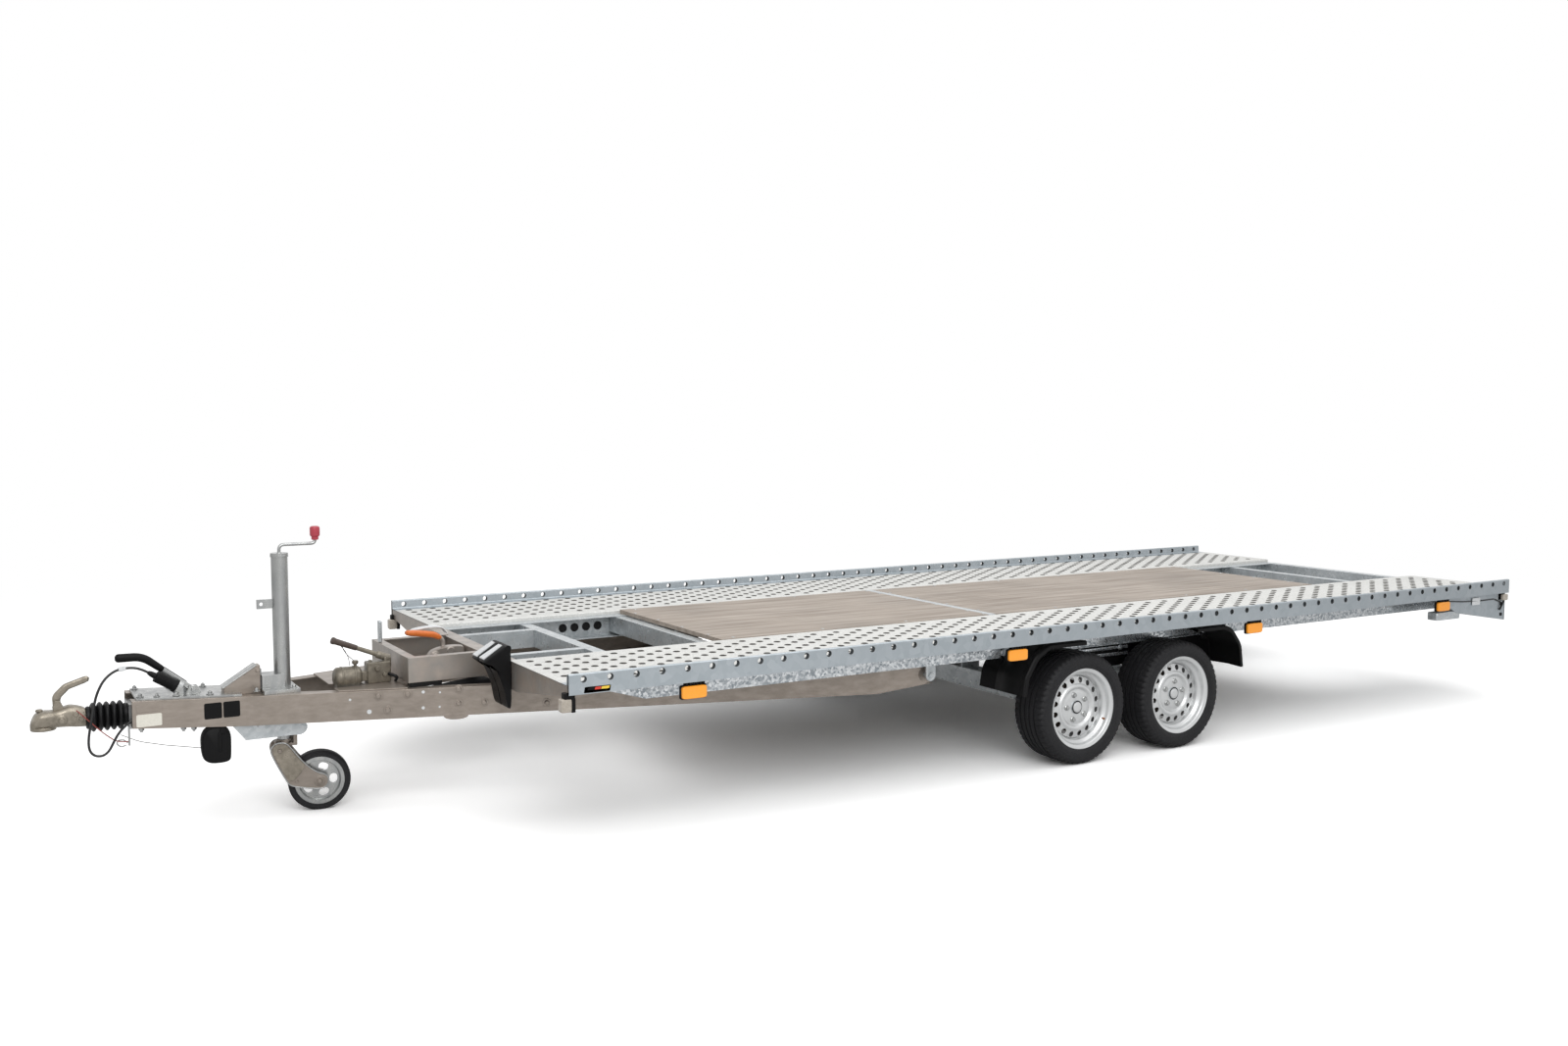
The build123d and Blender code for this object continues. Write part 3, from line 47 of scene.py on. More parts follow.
# ---- camera ----
CAMERA_PLACE = Vector((3.7197, 5.5407, 1.5334))
CAMERA_YAW = np.radians(30.939)  # turned from -Y towards -X
CAMERA_PITCH = np.radians(4.574)  # looks down
CAMERA_ROLL = np.radians(0.071)
LENS_MM = 32.305


def shown(name, data):
    """New object of the scene that shows the given data."""
    made = bpy.data.objects.new(name, data)
    bpy.context.scene.collection.objects.link(made)
    return made


def add_camera():
    """Camera at a standing viewer's height, off the trailer's front left corner."""
    data = bpy.data.cameras.new("camera")
    data.sensor_width = 36.0
    data.lens = LENS_MM
    data.clip_end = 200.0
    camera = shown("camera", data)
    level = np.cos(CAMERA_PITCH)
    ahead = Vector((-np.sin(CAMERA_YAW) * level, -np.cos(CAMERA_YAW) * level, -np.sin(CAMERA_PITCH)))
    right = ahead.cross(Vector(UP)).normalized()
    up = right.cross(ahead)
    right, up = (
        right * np.cos(CAMERA_ROLL) + up * np.sin(CAMERA_ROLL),
        up * np.cos(CAMERA_ROLL) - right * np.sin(CAMERA_ROLL),
    )
    turn = Matrix((right, up, -ahead)).transposed().to_4x4()
    camera.matrix_world = Matrix.Translation(CAMERA_PLACE) @ turn
    bpy.context.scene.camera = camera


add_camera()

# ---- material tools ----


def linear(colour):
    """Linear RGBA of an sRGB hex colour: the sRGB curve undone channel by channel."""
    value = np.array([int(colour[i : i + 2], 16) for i in (1, 3, 5)]) / 255
    value = np.where(value > 0.04045, ((value + 0.055) / 1.055) ** 2.4, value / 12.92)
    return (*value.tolist(), 1.0)


def add(tree, kind, inputs, **settings):
    """Adds a shader node, sets its settings, and sets or links its inputs by name or number."""
    node = tree.nodes.new("ShaderNode" + kind)
    for key, value in settings.items():
        setattr(node, key, value)
    for key, value in inputs.items():
        if isinstance(value, bpy.types.NodeSocket):
            tree.links.new(value, node.inputs[key])
        else:
            node.inputs[key].default_value = value
    return node


def surface(
    name, base, other, size, kind="grain", stretch=(1, 1, 1), blotch=0.2, blotch_size=0.3, metallic=0.0,
    roughness=0.5, uneven=0.08, bump=0.0, edge=0.0, sockets=(),
):
    """Finish whose colour runs between two hex colours over a pattern of a real size in metres.

    The pattern is noise or, for zinc spangle, one random value per Voronoi cell. A wider noise
    darkens it in blotches. The same pattern drives roughness and bump. Edge is the radius, in
    metres, that sharp corners catch the light as if they were rounded to."""
    material = bpy.data.materials.new(name)
    material.use_nodes = True
    tree = material.node_tree
    shader = tree.nodes["Principled BSDF"]
    where = add(tree, "TexCoord", {}).outputs["Object"]
    scaled = add(tree, "Mapping", {"Vector": where, "Scale": [s / size for s in stretch]}).outputs[0]
    if kind == "spangle":
        cells = add(tree, "TexVoronoi", {"Vector": scaled, "Scale": 1.0})
        fine = add(tree, "SeparateColor", {"Color": cells.outputs["Color"]}).outputs[0]
    else:
        grain = add(tree, "TexNoise", {"Vector": scaled, "Scale": 1.0, "Detail": 5.0, "Roughness": 0.6})
        spread = {"Value": grain.outputs[0], "From Min": 0.3, "From Max": 0.7}
        fine = add(tree, "MapRange", spread).outputs[0]
    wide = add(tree, "TexNoise", {"Vector": where, "Scale": 1 / blotch_size, "Detail": 3.0}).outputs[0]
    shade = add(tree, "MapRange", {"Value": wide, "From Min": 0.35, "From Max": 0.75, "To Max": blotch})
    colour = add(tree, "Mix", {0: fine, 6: linear(base), 7: linear(other)}, data_type="RGBA").outputs[2]
    dark = [c * 0.45 for c in linear(other)[:3]] + [1.0]
    colour = add(tree, "Mix", {0: shade.outputs[0], 6: colour, 7: dark}, data_type="RGBA").outputs[2]
    tree.links.new(colour, shader.inputs["Base Color"])
    spread = {"Value": fine, "To Min": roughness - uneven, "To Max": roughness + uneven}
    rough = add(tree, "MapRange", spread)
    tree.links.new(rough.outputs[0], shader.inputs["Roughness"])
    shader.inputs["Metallic"].default_value = metallic
    for key, value in dict(sockets).items():
        shader.inputs[key].default_value = value
    normal = None
    if edge:
        normal = add(tree, "Bevel", {"Radius": edge}, samples=4).outputs[0]
    if bump:
        inputs = {"Height": fine, "Distance": bump, "Strength": 0.8}
        if normal:
            inputs["Normal"] = normal
        normal = add(tree, "Bump", inputs).outputs[0]
    if normal:
        tree.links.new(normal, shader.inputs["Normal"])
    return material


# hot-dip galvanised steel: 12 mm spangle, bluish grey, half dull, corners rounded by the zinc
ZINC = surface(
    "hot_dip_zinc", "#c9cdcf", "#b3b9bc", 0.016, "spangle", blotch=0.3, blotch_size=0.08, metallic=0.65,
    roughness=0.36, uneven=0.1, bump=0.00008, edge=0.002,
)
# nose frame and front beam: the same coating, smooth; its darker, slightly brown tone is painted shade and a
# painted reflection of a brown floor
SMOOTH_ZINC = surface(
    "smooth_zinc_painted_reflection_shade", "#a89d94", "#98948f", 0.05, blotch=0.25, blotch_size=0.12, metallic=0.65,
    roughness=0.36, bump=0.00005, edge=0.003,
)
# sills with a coarser, brighter flower in the zinc
BRIGHT_ZINC = surface(
    "flowered_zinc", "#e4e7e9", "#90989e", 0.009, "spangle", blotch=0.15, metallic=0.85, roughness=0.28,
    uneven=0.14, bump=0.0002, edge=0.002,
)
# tread sheet: pale warm grey from above, fine spangle
DECK_ZINC = surface(
    "galvanised_tread_sheet", "#d6d6d3", "#c4c4c1", 0.006, "spangle", blotch=0.12, metallic=0.3,
    bump=0.00005,
)
# painted shade: dark zinc for the collar flanks and hole walls of the pierced sheets and the hollow inner
# faces of the rails, standing in for the shade in them
PAINTED_SHADE_ZINC = surface("painted_shade_dark_zinc", "#5a5753", "#43413e", 0.004, metallic=0.3, roughness=0.6)
# galvanised side rail: cooler and smoother than the deck
RAIL_ZINC = surface(
    "galvanised_rail_sheet", "#aeb5ba", "#a2aaaf", 0.03, "spangle", blotch=0.1, blotch_size=0.8,
    metallic=0.7, roughness=0.36, uneven=0.06, bump=0.00005,
)
# galvanised drawbar: dull, warm brownish grey, the brown a painted reflection of a brown floor; faint long
# streaks along the beam
DRAWBAR_ZINC = surface(
    "zinc_painted_brown_reflection", "#a2988f", "#8e857c", 0.02, stretch=(0.25, 1, 1), metallic=0.7, roughness=0.38,
    bump=0.00005, edge=0.003,
)
# yellow-passivated zinc of the coupling and pump: olive beige with tarnish
PASSIVATED = surface(
    "yellow_passivated_zinc", "#a1998c", "#7d766a", 0.02, blotch=0.4, blotch_size=0.06, metallic=0.65,
    roughness=0.34, uneven=0.12, bump=0.0001, edge=0.003,
)
# painted pump body: dull olive grey
OLIVE = surface(
    "olive_grey_enamel", "#857e71", "#645e53", 0.02, blotch=0.4, blotch_size=0.05, metallic=0.4,
    roughness=0.4, uneven=0.12, bump=0.0001, edge=0.003,
)
# bright zinc-plated steel of bolts, jack tube and brake parts: light silver, drawn marks
PLATED = surface(
    "bright_zinc_plate", "#b9bab8", "#9b9d9e", 0.03, stretch=(1, 1, 0.2), blotch=0.25, blotch_size=0.1,
    metallic=0.85, roughness=0.3, uneven=0.1, edge=0.001,
)
# phenolic film on birch plywood: warm brown grey, streaks along the boards
FILM_PLY = surface(
    "film_faced_plywood", "#a79b8f", "#81756a", 0.03, stretch=(0.06, 1, 1), blotch=0.4, blotch_size=0.4,
    uneven=0.1, bump=0.00008, sockets={"Specular IOR Level": 0.4},
)
# injection-moulded polypropylene: black, fine leather grain
BLACK_PLASTIC = surface(
    "moulded_polypropylene", "#101011", "#09090a", 0.0015, blotch=0.3, roughness=0.45, bump=0.0001,
    edge=0.002, sockets={"Specular IOR Level": 0.15},
)
# vulcanised rubber of bellows, seals, hose and pads
RUBBER = surface(
    "vulcanised_rubber", "#141415", "#0c0c0d", 0.004, blotch=0.3, roughness=0.42, uneven=0.12,
    bump=0.00005, sockets={"Specular IOR Level": 0.25},
)
# tyre rubber: near black, dull, a little dust
TYRE = surface(
    "tyre_rubber", "#252527", "#18181a", 0.006, blotch=0.3, blotch_size=0.1, roughness=0.62, uneven=0.1,
    bump=0.0001, sockets={"Specular IOR Level": 0.25},
)
# aluminium-coloured enamel on pressed steel rims
ENAMEL = surface(
    "silver_enamel", "#d2d3d3", "#c4c6c7", 0.0012, blotch=0.1, metallic=0.55, roughness=0.32, uneven=0.05,
    edge=0.002, sockets={"Coat Weight": 0.3, "Coat Roughness": 0.15},
)
# bare cast iron of the brake drums, with a first bloom of rust
IRON = surface(
    "cast_iron", "#4b4744", "#5a4738", 0.01, blotch=0.4, metallic=0.6, roughness=0.65, bump=0.0003,
)
# moulded acrylic lenses
AMBER = surface(
    "amber_acrylic", "#f7a128", "#ee931c", 0.004, blotch=0.08, roughness=0.25, uneven=0.04,
    sockets={"Coat Weight": 0.4, "Emission Color": linear("#f59a1c"), "Emission Strength": 0.08},
)
CLEAR = surface("clear_acrylic", "#bcb4a9", "#9f978b", 0.004, roughness=0.15, uneven=0.03)
RED_LENS = surface("red_acrylic", "#b3231d", "#97160f", 0.004, roughness=0.2, uneven=0.03)
# faded red and orange moulded grips, brass valve
RED_KNOB = surface("faded_red_plastic", "#b8414f", "#a03340", 0.003, blotch=0.15, roughness=0.35)
ORANGE_GRIP = surface(
    "orange_plastic", "#e0752c", "#c4631f", 0.003, blotch=0.25, blotch_size=0.04, roughness=0.4,
)
BRASS = surface("tarnished_brass", "#b8805e", "#8f5e42", 0.004, blotch=0.3, metallic=0.8, roughness=0.35)
# brownish moulded sleeve of the pump lever
BROWN_GRIP = surface("brown_rubber_sleeve", "#4c3f38", "#3b302a", 0.003)
# pale grey polyethylene of the tags and sleeve; on the black chocks' tops the same pale grey is a painted
# highlight
PALE_PLASTIC = surface("grey_polyethylene", "#dcdedf", "#c3c6c8", 0.006, blotch=0.15, roughness=0.45)
# polished piston rod
CHROME = surface("hard_chrome", "#e3e4e6", "#d4d6d8", 0.02, metallic=1.0, roughness=0.12, uneven=0.04)
# blank film labels and colour stripes
WHITE_LABEL = surface("white_film_label", "#dedbd0", "#d2cfc4", 0.01, blotch=0.08, roughness=0.4)
BLACK_LABEL = surface(
    "black_film_label", "#0e0e0f", "#09090a", 0.01, blotch=0.1, roughness=0.4,
    sockets={"Specular IOR Level": 0.15},
)
RED_STRIPE = surface("red_film", "#cf4334", "#c22f24", 0.01, roughness=0.4)
YELLOW_STRIPE = surface("yellow_film", "#e8c94f", "#deb830", 0.01, roughness=0.4)
# polyethylene sheath of the cables
SHEATH = surface("cable_sheath", "#1c1c1d", "#121213", 0.01, roughness=0.4)
RED_SHEATH = surface("red_wire_sheath", "#9a4038", "#7e332d", 0.01, blotch=0.3, roughness=0.4)

# slot of the part that each finish goes to, where its piece names no other
SLOTS = {
    "galvanised_steel": (ZINC, SMOOTH_ZINC, BRIGHT_ZINC, DECK_ZINC, RAIL_ZINC),
    "drawbar_steel": (DRAWBAR_ZINC,),
    "zinc_plate": (PASSIVATED, OLIVE, PLATED, BRASS, WHITE_LABEL, BLACK_LABEL),
    "black_plastic": (BLACK_PLASTIC, PALE_PLASTIC, SHEATH),
    "black_rubber": (RUBBER, BROWN_GRIP),
    "tyre_rubber": (TYRE,),
    "wheel_silver": (ENAMEL,),
    "amber_lens": (AMBER, CLEAR, RED_LENS),
    "knob_red": (RED_KNOB,),
    "grip_orange": (ORANGE_GRIP,),
}
SLOT_OF = {finish.name: slot for slot, finishes in SLOTS.items() for finish in finishes}

# ---- mesh tools ----


def grid_faces(rows, columns, wrap_rows=False, wrap_columns=False):
    """Quads of a grid of points, row by row, closed over its ends where it wraps."""
    r = np.arange(rows if wrap_rows else rows - 1)
    c = np.arange(columns if wrap_columns else columns - 1)
    r, c = np.meshgrid(r, c, indexing="ij")
    r2, c2 = (r + 1) % rows, (c + 1) % columns
    return np.stack(
        [r * columns + c, r2 * columns + c, r2 * columns + c2, r * columns + c2], -1,
    ).reshape(-1, 4)


def piece(name, shells, material, body="platform", node=None, smooth=30, slot=None):
    """Joins shells of (points, quads) into one mesh that rides on a body and may stand for a node.

    Points that meet are merged, and each shell's faces are turned outwards. Edges sharper than
    the given angle, in degrees, stay sharp. A shell's third value picks from several materials,
    once for all its quads or once for each. The slot, the first finish's own where none is given,
    is worked out but not used."""
    finishes = material if isinstance(material, tuple) else (material,)
    slot = slot or SLOT_OF[finishes[0].name]
    offsets = np.cumsum([0] + [len(shell[0]) for shell in shells[:-1]])
    points = np.concatenate([shell[0].reshape(-1, 3) for shell in shells])
    quads = np.concatenate([shell[1] + offset for shell, offset in zip(shells, offsets)])
    picks = np.concatenate(
        [np.broadcast_to(shell[2] if len(shell) > 2 else 0, len(shell[1])) for shell in shells]
    )
    mesh = bpy.data.meshes.new(name)
    mesh.vertices.add(len(points))
    mesh.vertices.foreach_set("co", points.astype(np.float32).ravel())
    mesh.loops.add(quads.size)
    mesh.loops.foreach_set("vertex_index", quads.astype(np.int32).ravel())
    mesh.polygons.add(len(quads))
    mesh.polygons.foreach_set("loop_start", np.arange(0, quads.size, 4, dtype=np.int32))
    mesh.polygons.foreach_set("material_index", picks.astype(np.int32))
    mesh.update(calc_edges=True)
    shape = bmesh.new()
    shape.from_mesh(mesh)
    bmesh.ops.remove_doubles(shape, verts=shape.verts, dist=1e-6)
    bmesh.ops.dissolve_degenerate(shape, edges=shape.edges, dist=1e-7)
    bmesh.ops.recalc_face_normals(shape, faces=shape.faces)
    shape.to_mesh(mesh)
    shape.free()
    mesh.validate()
    mesh.shade_smooth()
    mesh.set_sharp_from_angle(angle=np.radians(smooth))
    for finish in finishes:
        mesh.materials.append(finish)
    made = shown(name, mesh)
    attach(made, body)
    if node:
        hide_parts(*([node] if isinstance(node, str) else node))
    return made


def unit(vector):
    """Vectors divided by their length."""
    vector = np.asarray(vector, float)
    return vector / np.linalg.norm(vector, axis=-1, keepdims=True)


def lathe(profile, centre, axis, steps=48, ring=False):
    """Surface of revolution: the profile gives (along, radius) pairs about an axis through a
    centre. It closes at radius 0, or on itself if it is a ring."""
    profile = np.asarray(profile, float) / 1000
    axis = unit(axis)
    side = unit(np.cross(axis, [0.3, 0.2, 1.0] if abs(axis[2]) < 0.9 else [1.0, 0.2, 0]))
    other = np.cross(axis, side)
    angle = np.linspace(0, 2 * np.pi, steps, endpoint=False)
    round_it = np.cos(angle)[:, None] * side + np.sin(angle)[:, None] * other
    points = (
        np.asarray(centre, float)
        + profile[None, :, 0, None] * axis
        + profile[None, :, 1, None] * round_it[:, None, :]
    )
    return points.reshape(-1, 3), grid_faces(steps, len(profile), True, ring)


def rod(start, end, radius, steps=24, end_round=0.15):
    """Round bar between two points, its ends eased by a share of its radius."""
    start, end = np.asarray(start, float), np.asarray(end, float)
    long = np.linalg.norm(end - start) * 1000
    ease = radius * end_round
    profile = [
        (0, 0), (0, radius - ease), (ease, radius), (long - ease, radius), (long, radius - ease),
        (long, 0),
    ]
    return lathe(profile, start, end - start, steps)


def carry(section, path, up=UP, grow=None):
    """Closed section carried along a path: section gives (side, up) pairs, set square to the
    path's direction, and grow scales it at each path point. Both ends are closed."""
    section, path = np.asarray(section, float), np.asarray(path, float)
    ahead = unit(np.gradient(path, axis=0))
    side = unit(np.cross(np.broadcast_to(np.asarray(up, float), path.shape), ahead))
    rise = np.cross(ahead, side)
    grow = np.ones(len(path)) if grow is None else np.asarray(grow, float)
    spread = section[None, :, :] / 1000 * grow[:, None, None]
    points = path[:, None, :] + spread[..., :1] * side[:, None, :] + spread[..., 1:] * rise[:, None, :]
    middle = points.mean(axis=1, keepdims=True)
    ends = [np.broadcast_to(middle[i], points[:1].shape) for i in (0, -1)]
    points = np.concatenate([ends[0], points, ends[1]])
    return points.reshape(-1, 3), grid_faces(len(path) + 2, len(section), False, True)


def circle(radius, steps=20):
    """Closed circle as (side, up) pairs."""
    angle = np.linspace(0, 2 * np.pi, steps, endpoint=False)
    return np.stack([radius * np.cos(angle), radius * np.sin(angle)], -1)


def rounded(width, height, radius, steps=5):
    """Closed rectangle with round corners, centred, as (side, up) pairs."""
    quarter = np.linspace(0, np.pi / 2, steps)
    corners = []
    for turn, signs in enumerate(((1, 1), (-1, 1), (-1, -1), (1, -1))):
        angle = quarter + turn * np.pi / 2
        middle = np.array(signs) * (width / 2 - radius, height / 2 - radius)
        corners.append(middle + radius * np.stack([np.cos(angle), np.sin(angle)], -1))
    return np.concatenate(corners)


def slab(outline, origin, right, up, thick, ease=0.5):
    """Flat plate with eased edges: an outline of (right, up) pairs, as thick as given along
    right x up, its rings shrunk towards the outline's middle."""
    outline = np.asarray(outline, float)
    origin, right, up = (np.asarray(v, float) for v in (origin, unit(right), unit(up)))
    out = np.cross(right, up)
    middle = outline.mean(axis=0)
    reach = np.linalg.norm(outline - middle, axis=1).max()
    shrunk = middle + (outline - middle) * (1 - ease / reach)
    middle = np.broadcast_to(middle, outline.shape)
    ease = min(ease, thick / 3)
    levels = (0, 0, ease, thick - ease, thick, thick)
    rings = [
        origin + (ring[:, :1] * right + ring[:, 1:] * up + level * out) / 1000
        for ring, level in zip((middle, shrunk, outline, outline, shrunk, middle), levels)
    ]
    return np.concatenate(rings), grid_faces(6, len(outline), False, True)


def upright(outline, y, thick, ease=0.5):
    """Slab whose outline gives (X, Z) pairs. It lies at y, and is as thick as given towards -Y."""
    return slab(outline, (0, y, 0), AHEAD, UP, thick, ease)


def pillow(centre, half, sharp=0.25, steps=28):
    """Block with rounded edges, a superellipsoid: each coordinate is a half size times powers of
    the sine and cosine of two angles, and a smaller power gives sharper edges."""
    down = np.linspace(-np.pi / 2, np.pi / 2, steps // 2 + 1)[:, None]
    turn = np.linspace(-np.pi, np.pi, steps, endpoint=False)[None, :]

    def power(value):
        return np.sign(value) * np.abs(value) ** sharp

    flat = power(np.cos(down))
    axes = flat * power(np.cos(turn)), flat * power(np.sin(turn)), power(np.sin(down))
    points = np.stack(np.broadcast_arrays(*axes), -1) * np.asarray(half, float) / 1000 + centre
    return points.reshape(-1, 3), grid_faces(steps // 2 + 1, steps, False, True)


def smooth_loop(points, rounds=3, share=0.25):
    """Closed outline whose corners are cut, a few times, at a share of each run from its ends."""
    points = np.asarray(points, float)
    for _ in range(rounds):
        after = np.roll(points, -1, axis=0)
        cuts = (1 - share) * points + share * after, share * points + (1 - share) * after
        points = np.stack(cuts, 1).reshape(-1, 2)
    return points


def pierced(tiles, hole, collar, rise, depth, thick, place):
    """Sheet, in metres, with a round hole in each tile: rings run from the tile's edge to the
    collar's foot and crest, down through the hole's drawn wall and back under the sheet to the
    edge. Each tile gives its lowest and highest u and v and the hole's middle, and place turns
    (u, v, level) into points."""
    tiles = np.asarray(tiles, float)
    quarter = np.array([0, 0.25, 0.5, 0.75])
    along = np.concatenate([np.ones(4), 1 - quarter, np.zeros(4), quarter])
    across = np.concatenate([quarter, np.ones(4), 1 - quarter, np.zeros(4)])
    edge_u = tiles[:, :1] + (tiles[:, 1:2] - tiles[:, :1]) * along
    edge_v = tiles[:, 2:3] + (tiles[:, 3:4] - tiles[:, 2:3]) * across
    angle = -np.pi / 4 + np.arange(16) * np.pi / 8
    rings = [(edge_u, edge_v, 0.0)]
    for radius, level in (
        (hole + collar, 0), (hole + collar * 0.35, rise), (hole, rise * 0.8), (hole, -thick - depth),
    ):
        rings.append((tiles[:, 4:5] + radius * np.cos(angle), tiles[:, 5:6] + radius * np.sin(angle), level))
    rings.append((edge_u, edge_v, -thick))
    points = np.stack([np.stack([u, v, np.full_like(u, w)], -1) for u, v, w in rings], 1).reshape(-1, 3)
    quads = (
        grid_faces(6, 16, False, True)[None] + (np.arange(len(tiles)) * 96)[:, None, None]
    ).reshape(-1, 4)
    # the collar's outer flank, its lip and the hole's wall take the second material: painted shade
    ring = np.tile(np.repeat(np.arange(5), 16), len(tiles))
    return place(points[:, 0], points[:, 1], points[:, 2]), quads, np.where((ring > 0) & (ring < 4), 1, 0)


def folded(outside, inside, stops, open_bands=(), side=1, shade_bands=()):
    """Sheet folded along X: its outer and inner section lines, of as many (y, z) points each, are
    carried over the stops. Open bands are left for a pierced sheet, shade bands take the second
    material, a painted shade, on the inner face, and all edges are closed."""
    faces = []
    for line in (outside, inside):
        x, y = np.meshgrid(stops, [side * point[0] for point in line], indexing="ij")
        faces.append(np.stack([x, y, np.broadcast_to([point[1] for point in line], x.shape)], -1))
    bands = [band for band in range(len(outside) - 1) if band not in set(open_bands)]
    shells = []
    for points, within in zip(faces, (False, True)):
        quads = grid_faces(len(stops), len(outside)).reshape(len(stops) - 1, len(outside) - 1, 4)
        dark = np.tile([within and band in set(shade_bands) for band in bands], len(stops) - 1)
        shells.append((points.reshape(-1, 3), quads[:, bands].reshape(-1, 4), dark.astype(int)))
    for edge in (0, -1):
        for wall in (np.stack([face[:, edge] for face in faces]), np.stack([face[edge] for face in faces])):
            shells.append((wall.reshape(-1, 3), grid_faces(2, wall.shape[1])))
    return shells


def bolt(place, way, across=17, washer=True, tip=0):
    """Hexagon head on a washer: two surfaces of revolution, the head's with six sides."""
    place, way = np.asarray(place, float), unit(way)
    corner, lift = across / np.sqrt(3), 1.8 if washer else 0
    shells = []
    if washer:
        edge = [(-1, 0), (-1, across), (1.4, across), (lift, across - 0.6), (lift, 0)]
        shells.append(lathe(edge, place, way, 24))
    top = lift + across * 0.62
    head = [(lift - 0.8, 0), (lift - 0.8, corner), (top - 1.6, corner), (top, corner * 0.84), (top, 0)]
    shells.append(lathe(head, place, way, 6))
    if tip:
        shells.append(rod(place, place + way * (top + tip) / 1000, across * 0.3, 12))
    return shells


# ---- cords ----
PLUG_ROUTE = [
    (3.122, 0.09, 0.43), (3.166, 0.09, 0.43), (3.21, 0.09, 0.392), (3.232, 0.089, 0.352),
    (3.247, 0.087, 0.321), (3.269, 0.084, 0.306), (3.295, 0.081, 0.311), (3.31, 0.079, 0.333),
    (3.31, 0.078, 0.376), (3.3, 0.077, 0.43), (3.29, 0.075, 0.484), (3.277, 0.071, 0.534),
    (3.252, 0.067, 0.58), (3.214, 0.064, 0.608), (3.17, 0.064, 0.613), (3.13426, 0.066, 0.6062),
    (3.109, 0.066, 0.59),
]
BREAKAWAY_ROUTE = [
    (3.344, 0.06, 0.476), (3.311, 0.06, 0.44), (3.279, 0.0605, 0.404), (3.246, 0.061, 0.371),
    (3.213, 0.06, 0.345), (3.18, 0.06, 0.345),
]


def spline(name, route, thickness, material):
    """Cord along the smooth curve that a second-degree NURBS draws inside a route's corners."""
    curve = bpy.data.curves.new(name, "CURVE")
    curve.dimensions = "3D"
    curve.resolution_u = curve.render_resolution_u = 14
    curve.bevel_depth = thickness / 2
    curve.bevel_resolution = 4
    curve.use_fill_caps = True
    line = curve.splines.new("NURBS")
    line.points.add(len(route) - 1)
    for point, place in zip(line.points, route):
        point.co = (*place, 1.0)
    line.order_u = 3
    line.use_endpoint_u = True
    curve.materials.append(material)
    return shown(name, curve)


def spline_line(cord):
    """Points along a cord's own spline, read from the curve without its thickness."""
    bare = cord.data.copy()
    bare.bevel_depth = 0
    bare.use_fill_caps = False
    carrier = shown("bare", bare)
    bpy.context.view_layer.update()
    mesh = bpy.data.meshes.new_from_object(carrier)
    line = np.array([vertex.co[:] for vertex in mesh.vertices])
    bpy.data.objects.remove(carrier)
    return line


plug_cable = spline("plug_lead", PLUG_ROUTE, 0.009, SHEATH)
breakaway = spline("breakaway_wire", BREAKAWAY_ROUTE, 0.004, RED_SHEATH)
plug_line, breakaway_line = spline_line(plug_cable), spline_line(breakaway)
for cord_piece, node in ((plug_cable, "plug_cable"), (breakaway, "breakaway_cable")):
    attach(cord_piece, "drawbar")
    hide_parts(node)

# plug body: strain relief, ribbed grip barrel and locking collar
PLUG_START = np.array([3.109, 0.066, 0.59])
PLUG_WAY = unit([-0.842, 0.0, -0.54])
PLUG_RELIEF = [(0, 0), (0, 6.2), (4, 7.8), (8, 8.8), (14, 10.2), (24, 10.8), (28, 12.5)]
PLUG_COLLAR = [(99, 22.5), (101, 24.7), (108, 24.7), (109.8, 23.5), (109.8, 0)]
along = np.linspace(0, 1, 60)
ribs = np.where(along < 0.08, 20.5, 20.5 + 1.2 * np.cos(2 * np.pi * along * 11) ** 2)
plug_profile = np.concatenate([PLUG_RELIEF, np.stack([30 + along * 66, ribs], -1), PLUG_COLLAR])
plug_piece = piece(
    "trailer_plug", [lathe(plug_profile, PLUG_START, PLUG_WAY, 48)], BLACK_PLASTIC, "drawbar", "plug",
)

# ---- deck ----
DECK_TOP, FRONT_X, REAR_X, HALF_WIDTH = 0.5945, 1.912, -3.488, 1.1
SHEET = 0.003
RAIL_FIRST, RAIL_PITCH, RAIL_HOLES = FRONT_X - 0.054, 0.1, 54
RAIL_LOW, RAIL_HIGH, RAIL_SKIRT = 0.5995, 0.629, 0.5615
RAIL_HOLE_RISE, RAIL_COLLAR = 0.0146, 0.0008
HOLE, COLLAR, COLLAR_RISE, COLLAR_DEPTH = 0.0115, 0.0034, 0.002, 0.006
HOLE_PITCH, ROW_PITCH = 0.114, 0.0425
QUARTER = HOLE_PITCH / 4
ROWS, FIRST_ROW = 11, 0.55825
LIP_FOOT, LIP_Y = 0.578, 0.505


def arc(middle, radius, start, end, steps=5):
    """Points of an arc about a (y, z) middle, between two angles in degrees."""
    angle = np.radians(np.linspace(start, end, steps))
    return [(middle[0] + radius * np.cos(a), middle[1] + radius * np.sin(a)) for a in angle]


